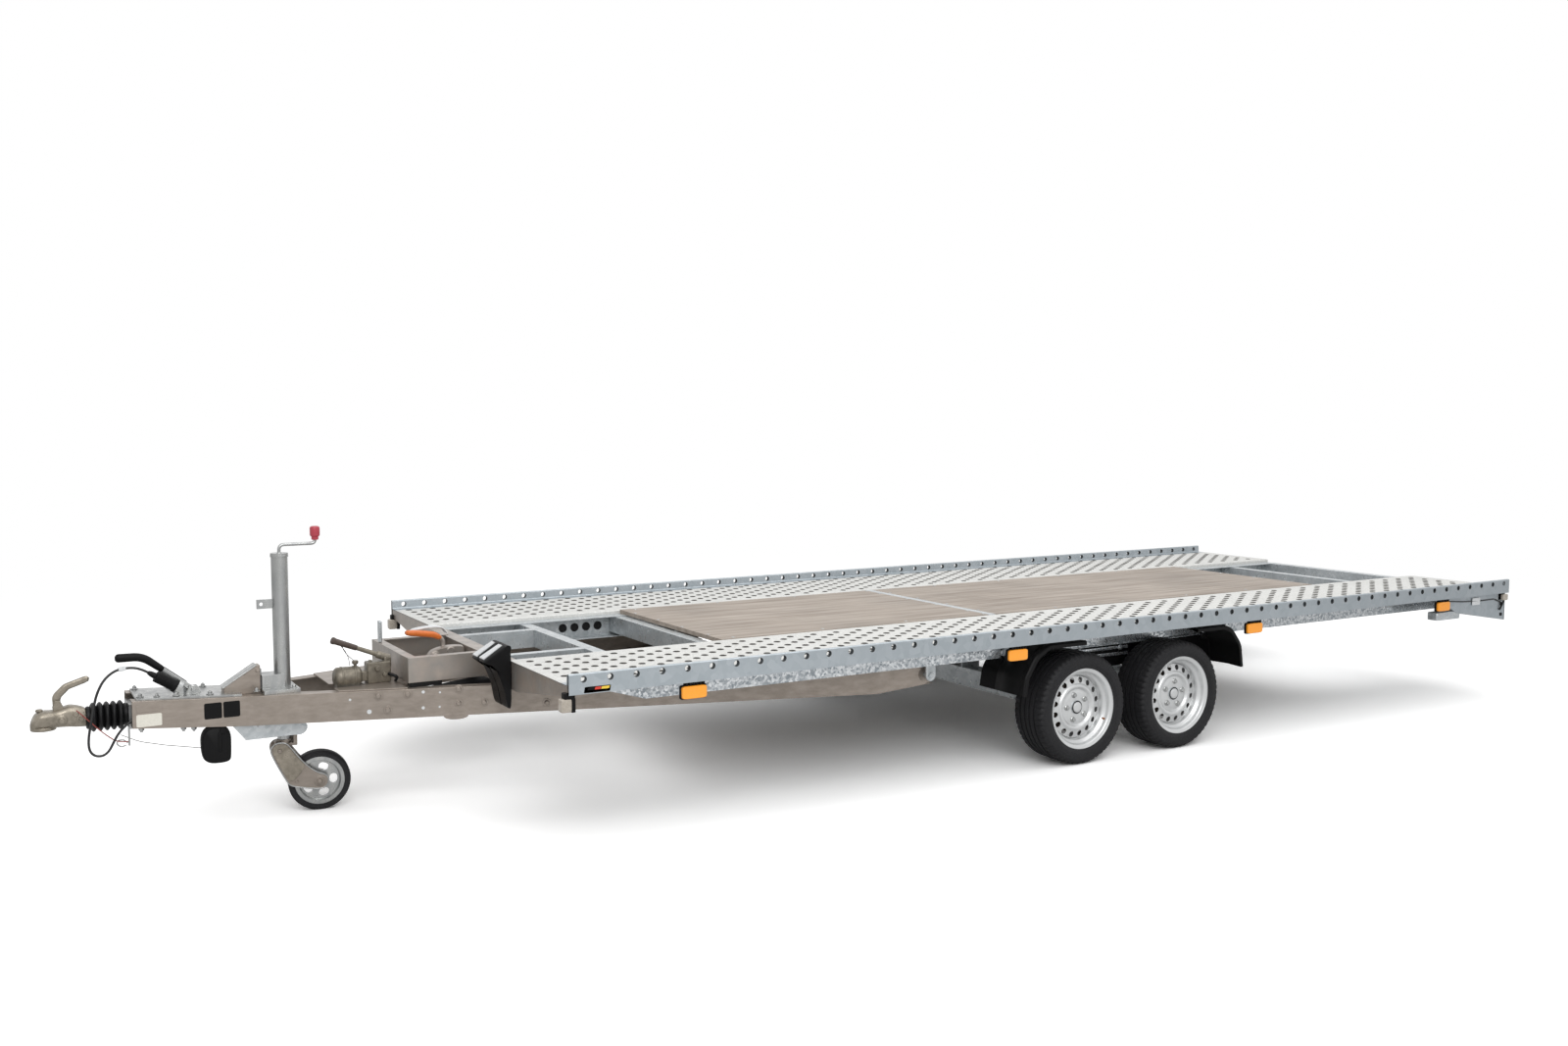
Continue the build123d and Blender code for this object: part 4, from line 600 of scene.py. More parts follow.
def deck_sheet(side):
    """Tread plank: flat sheet with rows of collared holes, alternate rows half a pitch on, and a
    lip folded down along its inner edge."""
    rows = FIRST_ROW + np.arange(ROWS * 4 + 1) * ROW_PITCH / 4
    bend = (LIP_Y + 0.005, DECK_TOP - 0.005)
    outside = [(LIP_Y, LIP_FOOT), *arc(bend, 0.005, 180, 90), *[(v, DECK_TOP) for v in rows]]
    inside = [(LIP_Y + SHEET, LIP_FOOT), *arc(bend, 0.002, 180, 90), *[(v, DECK_TOP - SHEET) for v in rows]]
    lattice = FRONT_X - np.arange(int((FRONT_X - REAR_X) / QUARTER) + 1) * QUARTER
    stops = np.concatenate([lattice, [REAR_X]])
    shells = folded(outside, inside, stops, range(6, 6 + ROWS * 4), side)

    def place(u, v, w):
        return np.stack([u, side * v, DECK_TOP + w], -1)

    tiles = []
    for row in range(ROWS):
        low = FIRST_ROW + row * ROW_PITCH
        first = (row % 2) * 2
        holes = np.arange(first, len(lattice) - 4, 4)
        last = holes[-1] + 4
        none = np.zeros(len(holes))
        crosswise = none + low, none + low + ROW_PITCH, lattice[holes + 2], none + low + ROW_PITCH / 2
        tiles.append(np.stack([lattice[holes + 4], lattice[holes], *crosswise], -1))
        for ends in (lattice[: first + 1], stops[last:]):
            for level in (0.0, -SHEET):
                if len(ends) > 1:
                    u, v = np.meshgrid(ends, low + np.arange(5) * ROW_PITCH / 4, indexing="ij")
                    strip = place(u.ravel(), v.ravel(), np.full(u.size, level))
                    shells.append((strip, grid_faces(len(ends), 5)))
    shells.append(pierced(np.concatenate(tiles), HOLE, COLLAR, COLLAR_RISE, COLLAR_DEPTH, SHEET, place))
    return shells


def side_rail(side):
    """Rail folded up from the plank's outer edge: inner wall leaning out, flat top, outer wall,
    with a round lashing hole through both walls every 100 mm."""
    lean = np.array([0.003, 0.0395]) / np.hypot(0.003, 0.0395)
    away = np.array([lean[1], -lean[0]])
    low, high = np.array([1.0793, RAIL_LOW]), np.array([1.0815, RAIL_HIGH])
    slant = np.hypot(*(high - low))
    inner_wall = low + (high - low) * np.linspace(0, 1, 5)[:, None]
    outer_wall = np.stack([np.full(5, HALF_WIDTH), np.linspace(RAIL_HIGH, RAIL_LOW, 5)], -1)
    edge = FIRST_ROW + ROWS * ROW_PITCH
    lines = []
    for inset, bend in ((0, 0.005), (SHEET, 0.002)):
        top = [*arc((1.0865, RAIL_HIGH), bend, 172, 90), *arc((1.095, RAIL_HIGH), bend, 90, 5)]
        walls = [*(inner_wall + away * inset), *top, *(outer_wall - [inset, 0])]
        foot = arc((1.0743, RAIL_LOW), 0.005 + inset, -90, -5)
        lines.append([(edge, DECK_TOP - inset), *foot, *walls, (HALF_WIDTH - inset, RAIL_SKIRT)])
    outside, inside = lines
    edges = RAIL_FIRST + RAIL_PITCH / 2 - np.arange(RAIL_HOLES + 1) * RAIL_PITCH
    edges[-1] = REAR_X
    runs = [np.linspace(a, b, 5)[:4] for a, b in zip(edges[:-1], edges[1:])]
    stops = np.concatenate([[FRONT_X], *runs, [REAR_X]])
    # bands 10 to 25 of the inner face, inside the rail's hollow, take the second material: painted shade
    shells = folded(outside, inside, stops, [*range(6, 10), *range(21, 25)], side, range(10, 26))
    shells += [
        (np.array([(x, side * y, z) for x in (FRONT_X, edges[0]) for y, z in line]), grid_faces(2, 5))
        for line in (outside[6:11], inside[6:11], outside[21:26], inside[21:26])
    ]
    none = np.zeros(RAIL_HOLES)
    crosswise = none, none + slant, (edges[1:] + edges[:-1]) / 2, none + RAIL_HOLE_RISE
    tiles = np.stack([edges[1:], edges[:-1], *crosswise], -1)

    def on_inner(u, v, w):
        run = low + v[:, None] * unit(high - low) - w[:, None] * away
        return np.stack([u, side * run[:, 0], run[:, 1]], -1)

    def on_outer(u, v, w):
        return np.stack([u, side * (HALF_WIDTH + w), RAIL_LOW + v * (RAIL_HIGH - RAIL_LOW) / slant], -1)

    shells += [pierced(tiles, HOLE, RAIL_COLLAR, 0.0, 0.0, SHEET, wall) for wall in (on_inner, on_outer)]
    return shells


for side, word in SIDES:
    # second finish: painted shade on the collar flanks and hole walls
    finishes = (DECK_ZINC, PAINTED_SHADE_ZINC)
    piece(f"deck_sheet_{word}", deck_sheet(side), finishes, "platform", f"plank_{word}", smooth=50)
    # second finish: painted shade on the hole walls and inside the rail's hollow
    finishes = (RAIL_ZINC, PAINTED_SHADE_ZINC)
    piece(f"side_rail_{word}", side_rail(side), finishes, "platform", f"plank_{word}", smooth=50)

# ---- frame nodes that keep their shape ----
KEPT = (
    (ZINC, "axle_front axle_rear cross_members hinge_lugs main_beams outriggers jack_guide"),
    (ZINC, "rear_beam mudguard_brackets ram_lugs plywood_strip platform_latch"),
    (SMOOTH_ZINC, "front_beam nose_frame"),
    (BRIGHT_ZINC, "side_sills"),
    (DRAWBAR_ZINC, "drawbar_beam_left drawbar_beam_right drawbar_spreaders ram_base_bracket"),
    (PLATED, "jack_tube jack_leg jack_wheel overrun_housing jack_clamp"),
    (FILM_PLY, "plywood_front plywood_rear"),
    (RUBBER, "rubber_pads"),
    (BLACK_PLASTIC, "ram_barrel brake_spring"),
    (CHROME, "ram_rod"),
    (IRON, "brake_drum_front_left brake_drum_front_right brake_drum_rear_left brake_drum_rear_right"),
    (TYRE, "jack_tyre"),
)
for material, names in KEPT:
    for name in names.split():
        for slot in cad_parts[name].material_slots:
            slot.material = material

# ---- more mesh tools ----


def filleted(points, radius, steps=6):
    """Path whose corners are rounded: each is a parabola between points a tangent length away."""
    points = np.asarray(points, float)
    line = [points[0]]
    for before, corner, after in zip(points[:-2], points[1:-1], points[2:]):
        back, on = unit(before - corner), unit(after - corner)
        turn = np.arccos(np.clip(-(back @ on), -1, 1))
        runs = [np.linalg.norm(end - corner) for end in (before, after)]
        reach = min(radius * np.tan(turn / 2), 0.48 * min(runs))
        t = np.linspace(0, 1, steps)[:, None]
        first, last = corner + back * reach, corner + on * reach
        line += list((1 - t) ** 2 * first + 2 * t * (1 - t) * corner + t**2 * last)
    line.append(points[-1])
    return np.array(line)


def bent(section, corners, radius, steps=8, up=UP, grow=None):
    """Section carried along a path through the given corners, rounded to a radius in metres."""
    return carry(section, filleted(corners, radius, steps), up, grow)


def loft(rings):
    """Closed rings of as many points each, joined in order, with both ends closed."""
    rings = np.asarray(rings, float)
    middle = rings.mean(axis=1, keepdims=True)
    ends = [np.broadcast_to(middle[i], rings[0].shape)[None] for i in (0, -1)]
    points = np.concatenate([ends[0], rings, ends[1]])
    return points.reshape(-1, 3), grid_faces(len(points), rings.shape[1], False, True)


def round_section(half_wide, low, high, power=0.5, steps=32):
    """Superellipse as (side, up) pairs, between a low and a high level."""
    angle = np.linspace(0, 2 * np.pi, steps, endpoint=False)
    c, s = (np.sign(value) * np.abs(value) ** power for value in (np.cos(angle), np.sin(angle)))
    return np.stack([half_wide * c, (low + high) / 2 + (high - low) / 2 * s], -1)


def smooth_steps(stations, count):
    """Rows of station values at evenly spaced places, along a cubic through the stations."""
    stations = np.asarray(stations, float)
    place = np.linspace(0, len(stations) - 1, count)
    low = np.clip(place.astype(int), 0, len(stations) - 2)
    t = (place - low)[:, None]
    padded = np.concatenate(
        [2 * stations[:1] - stations[1:2], stations, 2 * stations[-1:] - stations[-2:-1]]
    )
    a, b, c, d = (padded[low + i] for i in range(4))
    return 0.5 * (2 * b + (c - a) * t + (2 * a - 5 * b + 4 * c - d) * t**2 + (3 * b - a - 3 * c + d) * t**3)


# ---- wheels and tyres ----
WHEEL_Z, WHEEL_Y, DISC_Y = 0.245, 0.958, 1.0015
WHEEL_FRONT, WHEEL_REAR = -0.49, -1.08
TREAD_SLOTS, SLOT_DEEP, SHOULDER, BOLT_CIRCLE = 56, 0.0055, (0.071, 0.2325), 0.056
SIDEWALL = [
    (76, 174.5), (86.5, 175.5), (90.5, 180), (93.5, 188), (95.5, 193), (96.5, 193.5), (97, 199),
    (97.4, 208), (96.8, 216), (95.5, 220), (95.8, 221.5), (93.8, 227), (90, 233), (86, 238), (80, 242),
    (72, 243.6),
]
TREAD = [(48, 244.3), (47, 237), (40, 237), (39, 244.6), (18, 245), (17, 237.5), (10.5, 237.5), (9.5, 245)]


def tyre(x, side):
    """Tyre: a sidewall and tread profile turned about the axle. The radius drops in two pairs of
    grooves round the tread, and in slots across each shoulder."""
    half = np.array(SIDEWALL + TREAD) / 1000
    profile = np.concatenate([half, half[::-1] * [-1, 1]])
    steps = TREAD_SLOTS * 4
    angle = np.linspace(0, 2 * np.pi, steps, endpoint=False)[:, None]
    slot = np.where(np.arange(steps) % 4 == 0, SLOT_DEEP, 0.0)[:, None]
    shoulder = (np.abs(profile[:, 0]) > SHOULDER[0]) & (profile[:, 1] > SHOULDER[1])
    radius = profile[None, :, 1] - slot * shoulder[None, :]
    across = np.broadcast_to(profile[None, :, 0], radius.shape)
    axes = x + radius * np.cos(angle), side * WHEEL_Y + across, WHEEL_Z + radius * np.sin(angle)
    return np.stack(axes, -1).reshape(-1, 3), grid_faces(steps, len(profile), True, True)


RIM = [
    (-8, 138.5), (-2, 140.5), (8, 142.5), (13, 146), (17, 153), (24, 157.5), (34, 159.5),
    (37.5, 162.5), (40, 169), (41.8, 173.3), (43.8, 174.2), (44, 176.2), (42, 177.2), (38.5, 176.5),
    (36, 170), (33, 164), (10, 160), (-20, 147), (-100, 150), (-124, 164), (-129, 175),
    (-131, 174.5), (-127, 162), (-102, 146), (-20, 143), (-11, 140.5), (-11, 135.5),
]
DISC = [
    (0, 21.5), (0, 60), (-0.8, 64), (-3.5, 72), (-4, 78), (-1.5, 82), (5.5, 86.5),
    (7.8, 90.5), (8, 96), (6, 100.5), (2, 103), (1, 104.5),
]
VENT_LOW, VENT_HIGH, DISC_THICK = 0.1045, 0.1355, 0.004
VENTS, VENT_PITCH, VENT_DROP, VENT_HOLE, VENT_LIP = 16, 0.0475, 0.009, 0.0125, 0.0012


def pressed_wheel(middle, out):
    """Pressed wheel: a rim section and a dished disc section turned about the axle, and between
    them a band of oval vents laid out in polar coordinates, sloping inwards to the rim."""

    def spin(radius, angle, level):
        radius, angle, level = np.broadcast_arrays(radius, angle, level)
        around = np.stack([np.cos(angle), 0 * angle, np.sin(angle)], -1)
        return (middle + radius[..., None] * around + level[..., None] * out).reshape(-1, 3)

    shells = []
    disc = np.concatenate([DISC, np.array(DISC)[::-1] - [DISC_THICK * 1000, 0]])
    for profile, steps in ((np.array(RIM), 128), (disc, 64)):
        angle = np.linspace(0, 2 * np.pi, steps, endpoint=False)[:, None]
        level, radius = profile.T / 1000
        shells.append((spin(radius, angle, level), grid_faces(steps, len(profile), True, True)))
    step, none = np.arange(VENTS) * VENT_PITCH, np.zeros(VENTS)
    radii = none + VENT_LOW, none + VENT_HIGH
    middles = step + VENT_PITCH / 2, none + (VENT_LOW + VENT_HIGH) / 2
    tiles = np.stack([step, step + VENT_PITCH, *radii, *middles], -1)

    def polar(u, v, w):
        slope = -VENT_DROP * np.clip((v - VENT_LOW) / (VENT_HIGH - VENT_LOW), 0, 1)
        return spin(v, u / VENT_PITCH * 2 * np.pi / VENTS, 0.001 + slope + w)

    shells.append(pierced(tiles, VENT_HOLE, VENT_LIP, 0.0, 0.0, DISC_THICK, polar)[:2])
    return shells


for side, word in SIDES:
    for x, end in ((WHEEL_FRONT, "front"), (WHEEL_REAR, "rear")):
        which = f"{end}_{word}"
        body = f"wheel_{which}"
        out = np.array([0, side, 0])
        middle = np.array([x, side * DISC_Y, WHEEL_Z])
        piece(f"road_tyre_{which}", [tyre(x, side)], TYRE, body, f"tyre_{which}", smooth=35)
        wheel = pressed_wheel(middle, out)
        piece(f"pressed_wheel_{which}", wheel, ENAMEL, body, f"wheel_{which}", smooth=35)
        bolts = []
        for number in range(5):
            turn = np.radians((2 if end == "front" else 25) + 72 * number)
            place = middle + BOLT_CIRCLE * np.array([np.cos(turn), 0, np.sin(turn)])
            bolts.append(lathe([(-2, 0), (-2, 12.5), (1.5, 12.5), (4, 9.8), (4.5, 0)], place, out, 24))
            bolts += bolt(place + out * 0.002, out, 16, False)
        piece(f"wheel_bolts_{which}", bolts, PLATED, body, slot="wheel_silver")
        cap = [(-4, 0), (-4, 24.5), (3, 24.5), (8, 22.5), (10.5, 18), (11.2, 10), (11.2, 0)]
        piece(f"hub_cap_{which}", [lathe(cap, middle, out, 40)], ENAMEL, body)
        seal = [(-3, 24), (-3, 29.5), (3.5, 29.5), (5, 27.5), (5, 24)]
        piece(f"hub_seal_{which}", [lathe(seal, middle, out, 40, True)], RUBBER, body)
        foot = middle + np.array([-0.14, 0, -0.062]) * (1 if end == "front" else -1)
        stem = [(-12, 0), (-12, 6.2), (4, 5.8), (10, 4.2), (11, 4.6), (26, 4.6), (27.5, 3.8), (27.5, 0)]
        piece(f"tyre_valve_{which}", [lathe(stem, foot, out, 16)], BRASS, body)

# ---- mudguards ----
GUARD_FRONT = [(2050, 336), (2064, 416), (2120, 502), (2190, 544), (2400, 544)]
GUARD_REAR = [(3080, 544), (3253, 544), (3307, 526), (3369, 449), (3384, 343)]
GUARD_SECTION = [
    (868, -13), (868, -2), (871, 0), (905, -0.5), (908, 1.5), (1022, 1.5), (1025, -0.5),
    (1040, 0), (1044, 3.5), (1056, 3.5), (1062, -2), (1062, -17), (1058, -17), (1058, -5),
    (1020, -3.5), (910, -3.5), (872, -5), (872, -13),
]
GUARD_TOP = 546
# outline of a black sheet inside each wheel arch: painted shade where the frame and axles lie in shadow
ARCH_SHADE_OUTLINE = [
    (-160, 476), (-1450, 476), (-1420, 420), (-1050, 400), (-950, 365), (-640, 365), (-560, 400), (-190, 420),
]
GUARD_FLAP = [(768, -4), (768, 0), (869, 0), (869, -4)]


def mudguard(side, line, section=GUARD_SECTION):
    """Mudguard over one wheel's outer quarter: a plate section with a rolled lip at its edge is
    carried along a line of rounded corners, square to that line. Each corner gives its distance
    behind the platform's front edge and its level, and the guard is cut flat at its top."""
    path = filleted([(FRONT_X * 1000 - s, z) for s, z in line], 90, 8)
    ahead = unit(np.gradient(path, axis=0))
    out = np.stack([ahead[:, 1], -ahead[:, 0]], -1)
    rings = [
        [(p[0] + n * level, side * y, min(p[1] + m * level, GUARD_TOP)) for y, level in section]
        for p, (n, m) in zip(path, out)
    ]
    return loft(np.array(rings) / 1000)


for side, word in SIDES:
    guard = [mudguard(side, GUARD_FRONT), mudguard(side, GUARD_REAR)]
    guard.append(mudguard(side, GUARD_FRONT[:2] + [(2102, 476)], GUARD_FLAP))
    guard.append(mudguard(side, [(3330, 480)] + GUARD_REAR[3:], GUARD_FLAP))
    piece(f"mudguards_{word}", guard, BLACK_PLASTIC, "platform", "mudguards", smooth=35)
    # black sheet inside the arch: painted shade
    painted_shade_panel = upright(smooth_loop(ARCH_SHADE_OUTLINE, 2, 0.15), side * 0.826 + 0.002, 4)
    piece(f"arch_painted_shade_{word}", [painted_shade_panel], BLACK_PLASTIC, smooth=35)
    web = [(-120, 468), (-120, 560), (-1480, 560), (-1480, 468)]
    arch = [upright(web, side * 0.84 + 0.002, 4, 1)]
    arch.append(carry(rounded(14, 4, 1.5, 3), [(-0.12, side * 0.847, 0.47), (-1.48, side * 0.847, 0.47)]))
    for x, z in ((-0.655, 0.449), (-0.905, 0.449)):
        arch += bolt((x, side * 0.838, z), (0, side, 0), 13)
    for z in (0.449, 0.42):
        arch.append(carry(rounded(4, 14, 1, 3), [(-0.615, side * 0.833, z), (-0.955, side * 0.833, z)]))
    piece(f"arch_sill_{word}", arch, BRIGHT_ZINC, smooth=35)

# ---- overrun coupling ----
TOW_Z = 0.434
along = np.linspace(12, 122.7, 61)
fold = (along - 12) / 110.7 * 5
folds = np.stack([along, 38.5 + 14.2 * np.abs(np.sin(np.pi * fold)) ** 0.8], -1)
cuff = [(0, 0), (0, 37.5), (1, 39), (11.8, 39)]
bellows = np.concatenate([cuff, folds, [(122.9, 39), (133.7, 39), (134.7, 37.5), (134.7, 0)]])
bellows = lathe(bellows, (3.1753, 0, TOW_Z), AHEAD, 64)
piece("drawtube_bellows", [bellows], RUBBER, "drawbar", "bellows", smooth=50)
straps = [
    lathe([(0, 38), (0, 40.2), (1, 40.8), (7, 40.8), (8, 40.2), (8, 38)], (x, 0, TOW_Z), AHEAD, 48, True)
    for x in (3.1772, 3.2995)
]
piece("bellows_clamps", straps, RUBBER, "drawbar", slot="zinc_plate")

HEAD = [
    (3310.3, 30, 407, 466), (3316, 33, 406, 474), (3340, 34, 407, 483), (3365.3, 35, 410, 486.5),
    (3395, 34.5, 412, 477), (3420, 38.5, 412, 473), (3440, 41.5, 412, 474), (3457.3, 40.5, 412, 472),
    (3472, 35, 412, 462), (3482, 25, 413, 444), (3487.2, 14, 414, 428),
]
BALL_CUP = [(0, 25.5), (0, 40), (2, 41.6), (10, 41.6), (12, 40), (12, 25.5)]
rings = [
    np.stack([np.full(40, x), *round_section(wide, low, high, 0.62, 40).T], -1) / 1000
    for x, wide, low, high in smooth_steps(HEAD, 44)
]
head = [
    loft(rings),
    lathe(BALL_CUP, (3.446, 0, 0.406), UP, 48, True),
    rod((3.344, -0.041, 0.457), (3.344, 0.041, 0.457), 8.5, 20),
    rod((3.4573, 0, 0.47), (3.4573, 0, 0.4805), 12.5, 24, 0.3),
]
for side in (1, -1):
    head += bolt((3.3265, side * 0.0335, 0.44), (0, side, 0), 16)
    head += bolt((3.39, side * 0.0355, 0.44), (0, side, 0), 19)
piece("coupling_casting", head, PASSIVATED, "drawbar", "coupling_head", smooth=35)

line = [(3.401, 0, 0.476), (3.402, 0, 0.52), (3.369, 0, 0.553), (3.305, 0, 0.5745), (3.296, 0, 0.572)]
line = filleted(line, 0.03, 8)
share = np.linspace(0, 1, len(line))
width = np.interp(share, [0, 0.15, 0.6, 0.8, 0.92, 1], [0.9, 1.0, 0.85, 0.8, 0.78, 0.5])
handle = [carry(rounded(28, 22, 8, 5), line, LEFT, width)]
ear = [(3375, 455), (3410, 455), (3415, 480), (3408, 508), (3392, 508), (3380, 480)]
handle += [upright(ear, 0.0145 * side + 0.002, 4) for side in (1, -1)]
piece("coupling_lever", handle, PASSIVATED, "drawbar", "coupling_handle", smooth=40)

# cover over the brake rod's joint: rounded tray with a rim, a boss and a bolt
guard_line = smooth_loop(
    [(2945, 381), (2945, 268), (2922, 240), (2882, 236), (2845, 240), (2839, 262), (2839, 381)], 3,
)
inner_line = guard_line.mean(axis=0) + (guard_line - guard_line.mean(axis=0)) * 0.88
cover = [
    upright(guard_line, 0.084, -26, 3),
    upright(inner_line, 0.11, -4, 2),
    rod((2.868, 0.104, 0.358), (2.868, 0.1175, 0.358), 13, 28, 0.2),
    pillow((2.88, 0.1125, 0.318), (6, 4, 40), 0.4),
]
piece("cable_cover", cover, BLACK_PLASTIC, "drawbar", "cable_guard", smooth=35)

# ---- overrun lever, housing bolts ----
LEVER_Y, BEAM_Y, BEND_X, SPLAY = 0.036, 0.12, 2.788, 0.29946
TOP_RISE, FOOT_RISE = 0.0574, 0.0888
lever_line = filleted([(2.956, LEVER_Y, 0.509), (3.123, LEVER_Y, 0.644), (3.213, LEVER_Y, 0.645)], 0.09, 12)


def between(line, start, end, count):
    """Points spread evenly along a line between two distances from its start."""
    run = np.concatenate([[0], np.cumsum(np.linalg.norm(np.diff(line, axis=0), axis=1))])
    place = np.linspace(start, min(end, run[-1]), count)
    return np.stack([np.interp(place, run, line[:, axis]) for axis in range(3)], -1)


bar = [carry(rounded(10, 19, 3, 4), between(lever_line, 0.0, 0.145, 8))]
for y in (0.0225, 0.0455):
    plate = smooth_loop([(2928, 484), (2984, 484), (2980, 504), (2966, 521), (2946, 520), (2932, 504)], 2)
    bar.append(upright(plate, y, 4))
bar += bolt((2.956, 0.0455, 0.509), LEFT, 16)
piece("brake_lever_bar", bar, PLATED, "drawbar", "handbrake_lever", smooth=35)
grip_run = np.linspace(0, 1, 40)
grip_line = between(lever_line, 0.128, 0.4, 40)
grow = np.interp(grip_run, [0, 0.03, 0.1, 0.5, 0.94, 0.985, 1], [0.62, 0.8, 0.86, 1.0, 1.04, 0.85, 0.45])
grip = carry(circle(15, 28) * [0.82, 1.0], grip_line, UP, grow)
piece("brake_lever_grip", [grip], BLACK_PLASTIC, "drawbar", smooth=50)

fixings = []
for x, y, z, size in (
    (3.14, 0.085, 0.488, 13), (3.085, 0.085, 0.488, 11), (3.02, 0.085, 0.488, 13), (2.905, 0.085, 0.488, 13),
    (3.14, -0.085, 0.488, 13), (3.02, -0.085, 0.488, 13), (2.905, -0.085, 0.488, 13),
    (2.745, 0.1, 0.491, 13), (2.745, -0.1, 0.491, 13), (2.61, 0.1, 0.491, 13), (2.61, -0.1, 0.491, 13),
):
    fixings += bolt((x, y, z + TOP_RISE * max(x - 2.8, 0)), UP, size, tip=3)
for x in (3.14, 3.0, 2.965, 2.745, 2.61):
    for y in (0.095, -0.095):
        fixings += bolt((x, y, 0.3675 + FOOT_RISE * max(x - BEND_X, 0)), (0, 0, -1), 17, tip=6)
piece("drawbar_top_bolts", fixings, PLATED, "drawbar")


def splay_y(x):
    """Outer face of the drawbar beam: straight ahead of the bend, spreading behind it."""
    return BEAM_Y + SPLAY * np.maximum(BEND_X - np.asarray(x, float), 0)


SIDE_BOLTS = (
    (2.337, 0.457), (2.304, 0.402), (2.234, 0.459), (2.054, 0.416), (2.053, 0.469), (1.963, 0.414),
    (1.734, 0.4), (1.7, 0.455),
)
SIDE_HOLES = (
    (2.369, 0.398, 8.5), (2.179, 0.464, 6), (2.18, 0.403, 6), (2.435, 0.447, 4.5), (2.12, 0.46, 4),
    (2.122, 0.404, 4),
)
fixings, plugs = [], []
for side in (1, -1):
    way = unit([SPLAY, side, 0])
    for x, z in SIDE_BOLTS:
        fixings += bolt((x, side * splay_y(x), z), way)
    for x, z, r in SIDE_HOLES:
        film = [(-1, 0), (-1, r), (0.6, r), (0.6, r * 0.8), (0.3, r * 0.7), (0.3, 0)]
        plugs.append(lathe(film, (x, side * splay_y(x), z), way, 24))
piece("drawbar_side_bolts", fixings, DRAWBAR_ZINC, "drawbar")
piece("drawbar_hole_plugs", plugs, PALE_PLASTIC, "drawbar", slot="zinc_plate")
# wedge-shaped bracket ahead of the jack's clamp, with a bright sloping plate
wedge = [(2854, 507), (2738, 580), (2724, 580), (2724, 474), (2854, 480)]
piece(
    "jack_wedge", [upright(wedge, 0.067, 56, 2)] + bolt((2.734, 0.067, 0.562), LEFT, 13, False),
    DRAWBAR_ZINC, "drawbar",
)
slope = [(2.858, 0.038, 0.5065), (2.737, 0.038, 0.583)]
strips = [
    carry(rounded(66, 4, 1.5, 3), slope),
    carry(rounded(4, 22, 1.5, 3), [(2.726, 0.069, 0.578), (2.726, 0.069, 0.486)]),
]
piece("jack_wedge_plates", strips, PLATED, "drawbar")
tab = smooth_loop([(46, 376), (-46, 376), (-46, 360), (-20, 352), (20, 352), (46, 360)], 2)
piece(
    "drawbar_tabs",
    [slab(tab, (2.064, side * splay_y(2.064), 0), (1, -side * SPLAY, 0), UP, side * 4) for side in (1, -1)],
    DRAWBAR_ZINC, "drawbar",
)

# blank labels: thin films proud of the beam's outer face
LABELS = (
    (WHITE_LABEL, "maker_label", ((3158, 3074, 449, 404),)),
    (DRAWBAR_ZINC, "data_label", ((3158, 3070, 486, 456),)),
    (BLACK_LABEL, "black_labels", ((2932, 2871, 466, 407), (2866, 2808, 466, 407))),
)
for film, name, patches in LABELS:
    shells = []
    for x0, x1, z1, z0 in patches:
        outline = smooth_loop([(x0, z0), (x0, z1), (x1, z1), (x1, z0)], 2, 0.06)
        shells.append(upright(outline, BEAM_Y, -0.6, 0.2))
    piece(name, shells, film, "drawbar", slot="zinc_plate")

# snap hook at the drawbar's tip and the thin wire drawn back from it to the cover
hook = [
    (3.182, 0.058, 0.34), (3.196, 0.056, 0.352), (3.214, 0.054, 0.352), (3.218, 0.054, 0.338),
    (3.204, 0.056, 0.326), (3.188, 0.058, 0.332),
]
piece("snap_hook", [bent(circle(2.4, 12), hook, 0.01, 5, LEFT)], PLATED, "drawbar", smooth=50)
wire = bent(
    circle(1.3, 8),
    [(3.205, 0.06, 0.372), (3.145, 0.07, 0.342), (3.06, 0.085, 0.322), (2.943, 0.098, 0.3)], 0.2, 8, LEFT,
)
piece("release_wire", [wire], SHEATH, "drawbar", smooth=50, slot="chrome_rod")
# white tag wrapped round the plug lead
middle = int(np.argmin(np.linalg.norm(plug_line - [3.192, 0.064, 0.611], axis=1)))
tag_line = plug_line[middle - 4 : middle + 5]
piece("lead_tag", [carry(rounded(14, 15, 2, 3), tag_line)], PALE_PLASTIC, "drawbar")

# ---- jack ----
JACK = np.array([2.638, 0.03, 0.0])
LEAN = np.array([-0.99, 0.1395, 0.0])
ASIDE = np.array([0.1395, 0.99, 0.0])
AXLE, AXLE_Z = 0.1228, 0.115
arm = [(2.638, 0.03, 0.985), (2.638, 0.03, 1.026), (2.505, 0.03, 1.026), (2.505, 0.03, 1.06)]
cover = [(0, 0), (0, 32.5), (8, 32.5), (11, 29), (12, 11), (16, 10), (16, 0)]
crank = [bent(circle(6.2, 20), arm, 0.022, 8, LEFT), lathe(cover, JACK + [0, 0, 0.981], UP, 40)]
piece("crank_arm", crank, PLATED, "jack_tube", "jack_crank", smooth=35)
knob = [(0, 0), (0, 11.5), (3, 13), (12, 13), (14, 16.5), (18, 18.3), (44, 18.5), (49, 17), (52, 12), (52, 0)]
piece("crank_knob", [lathe(knob, (2.505, 0.03, 1.0395), UP, 40)], RED_KNOB, "jack_tube", smooth=35)
CHEEK = [
    (-50, 236), (-50, 262), (-28, 279), (4, 276), (22, 256), (64, 196), (112, 152), (150, 140),
    (158, 116), (146, 92), (122, 86), (56, 98), (18, 108), (4, 126),
]
cheek = smooth_loop(CHEEK, 2)
fork = []
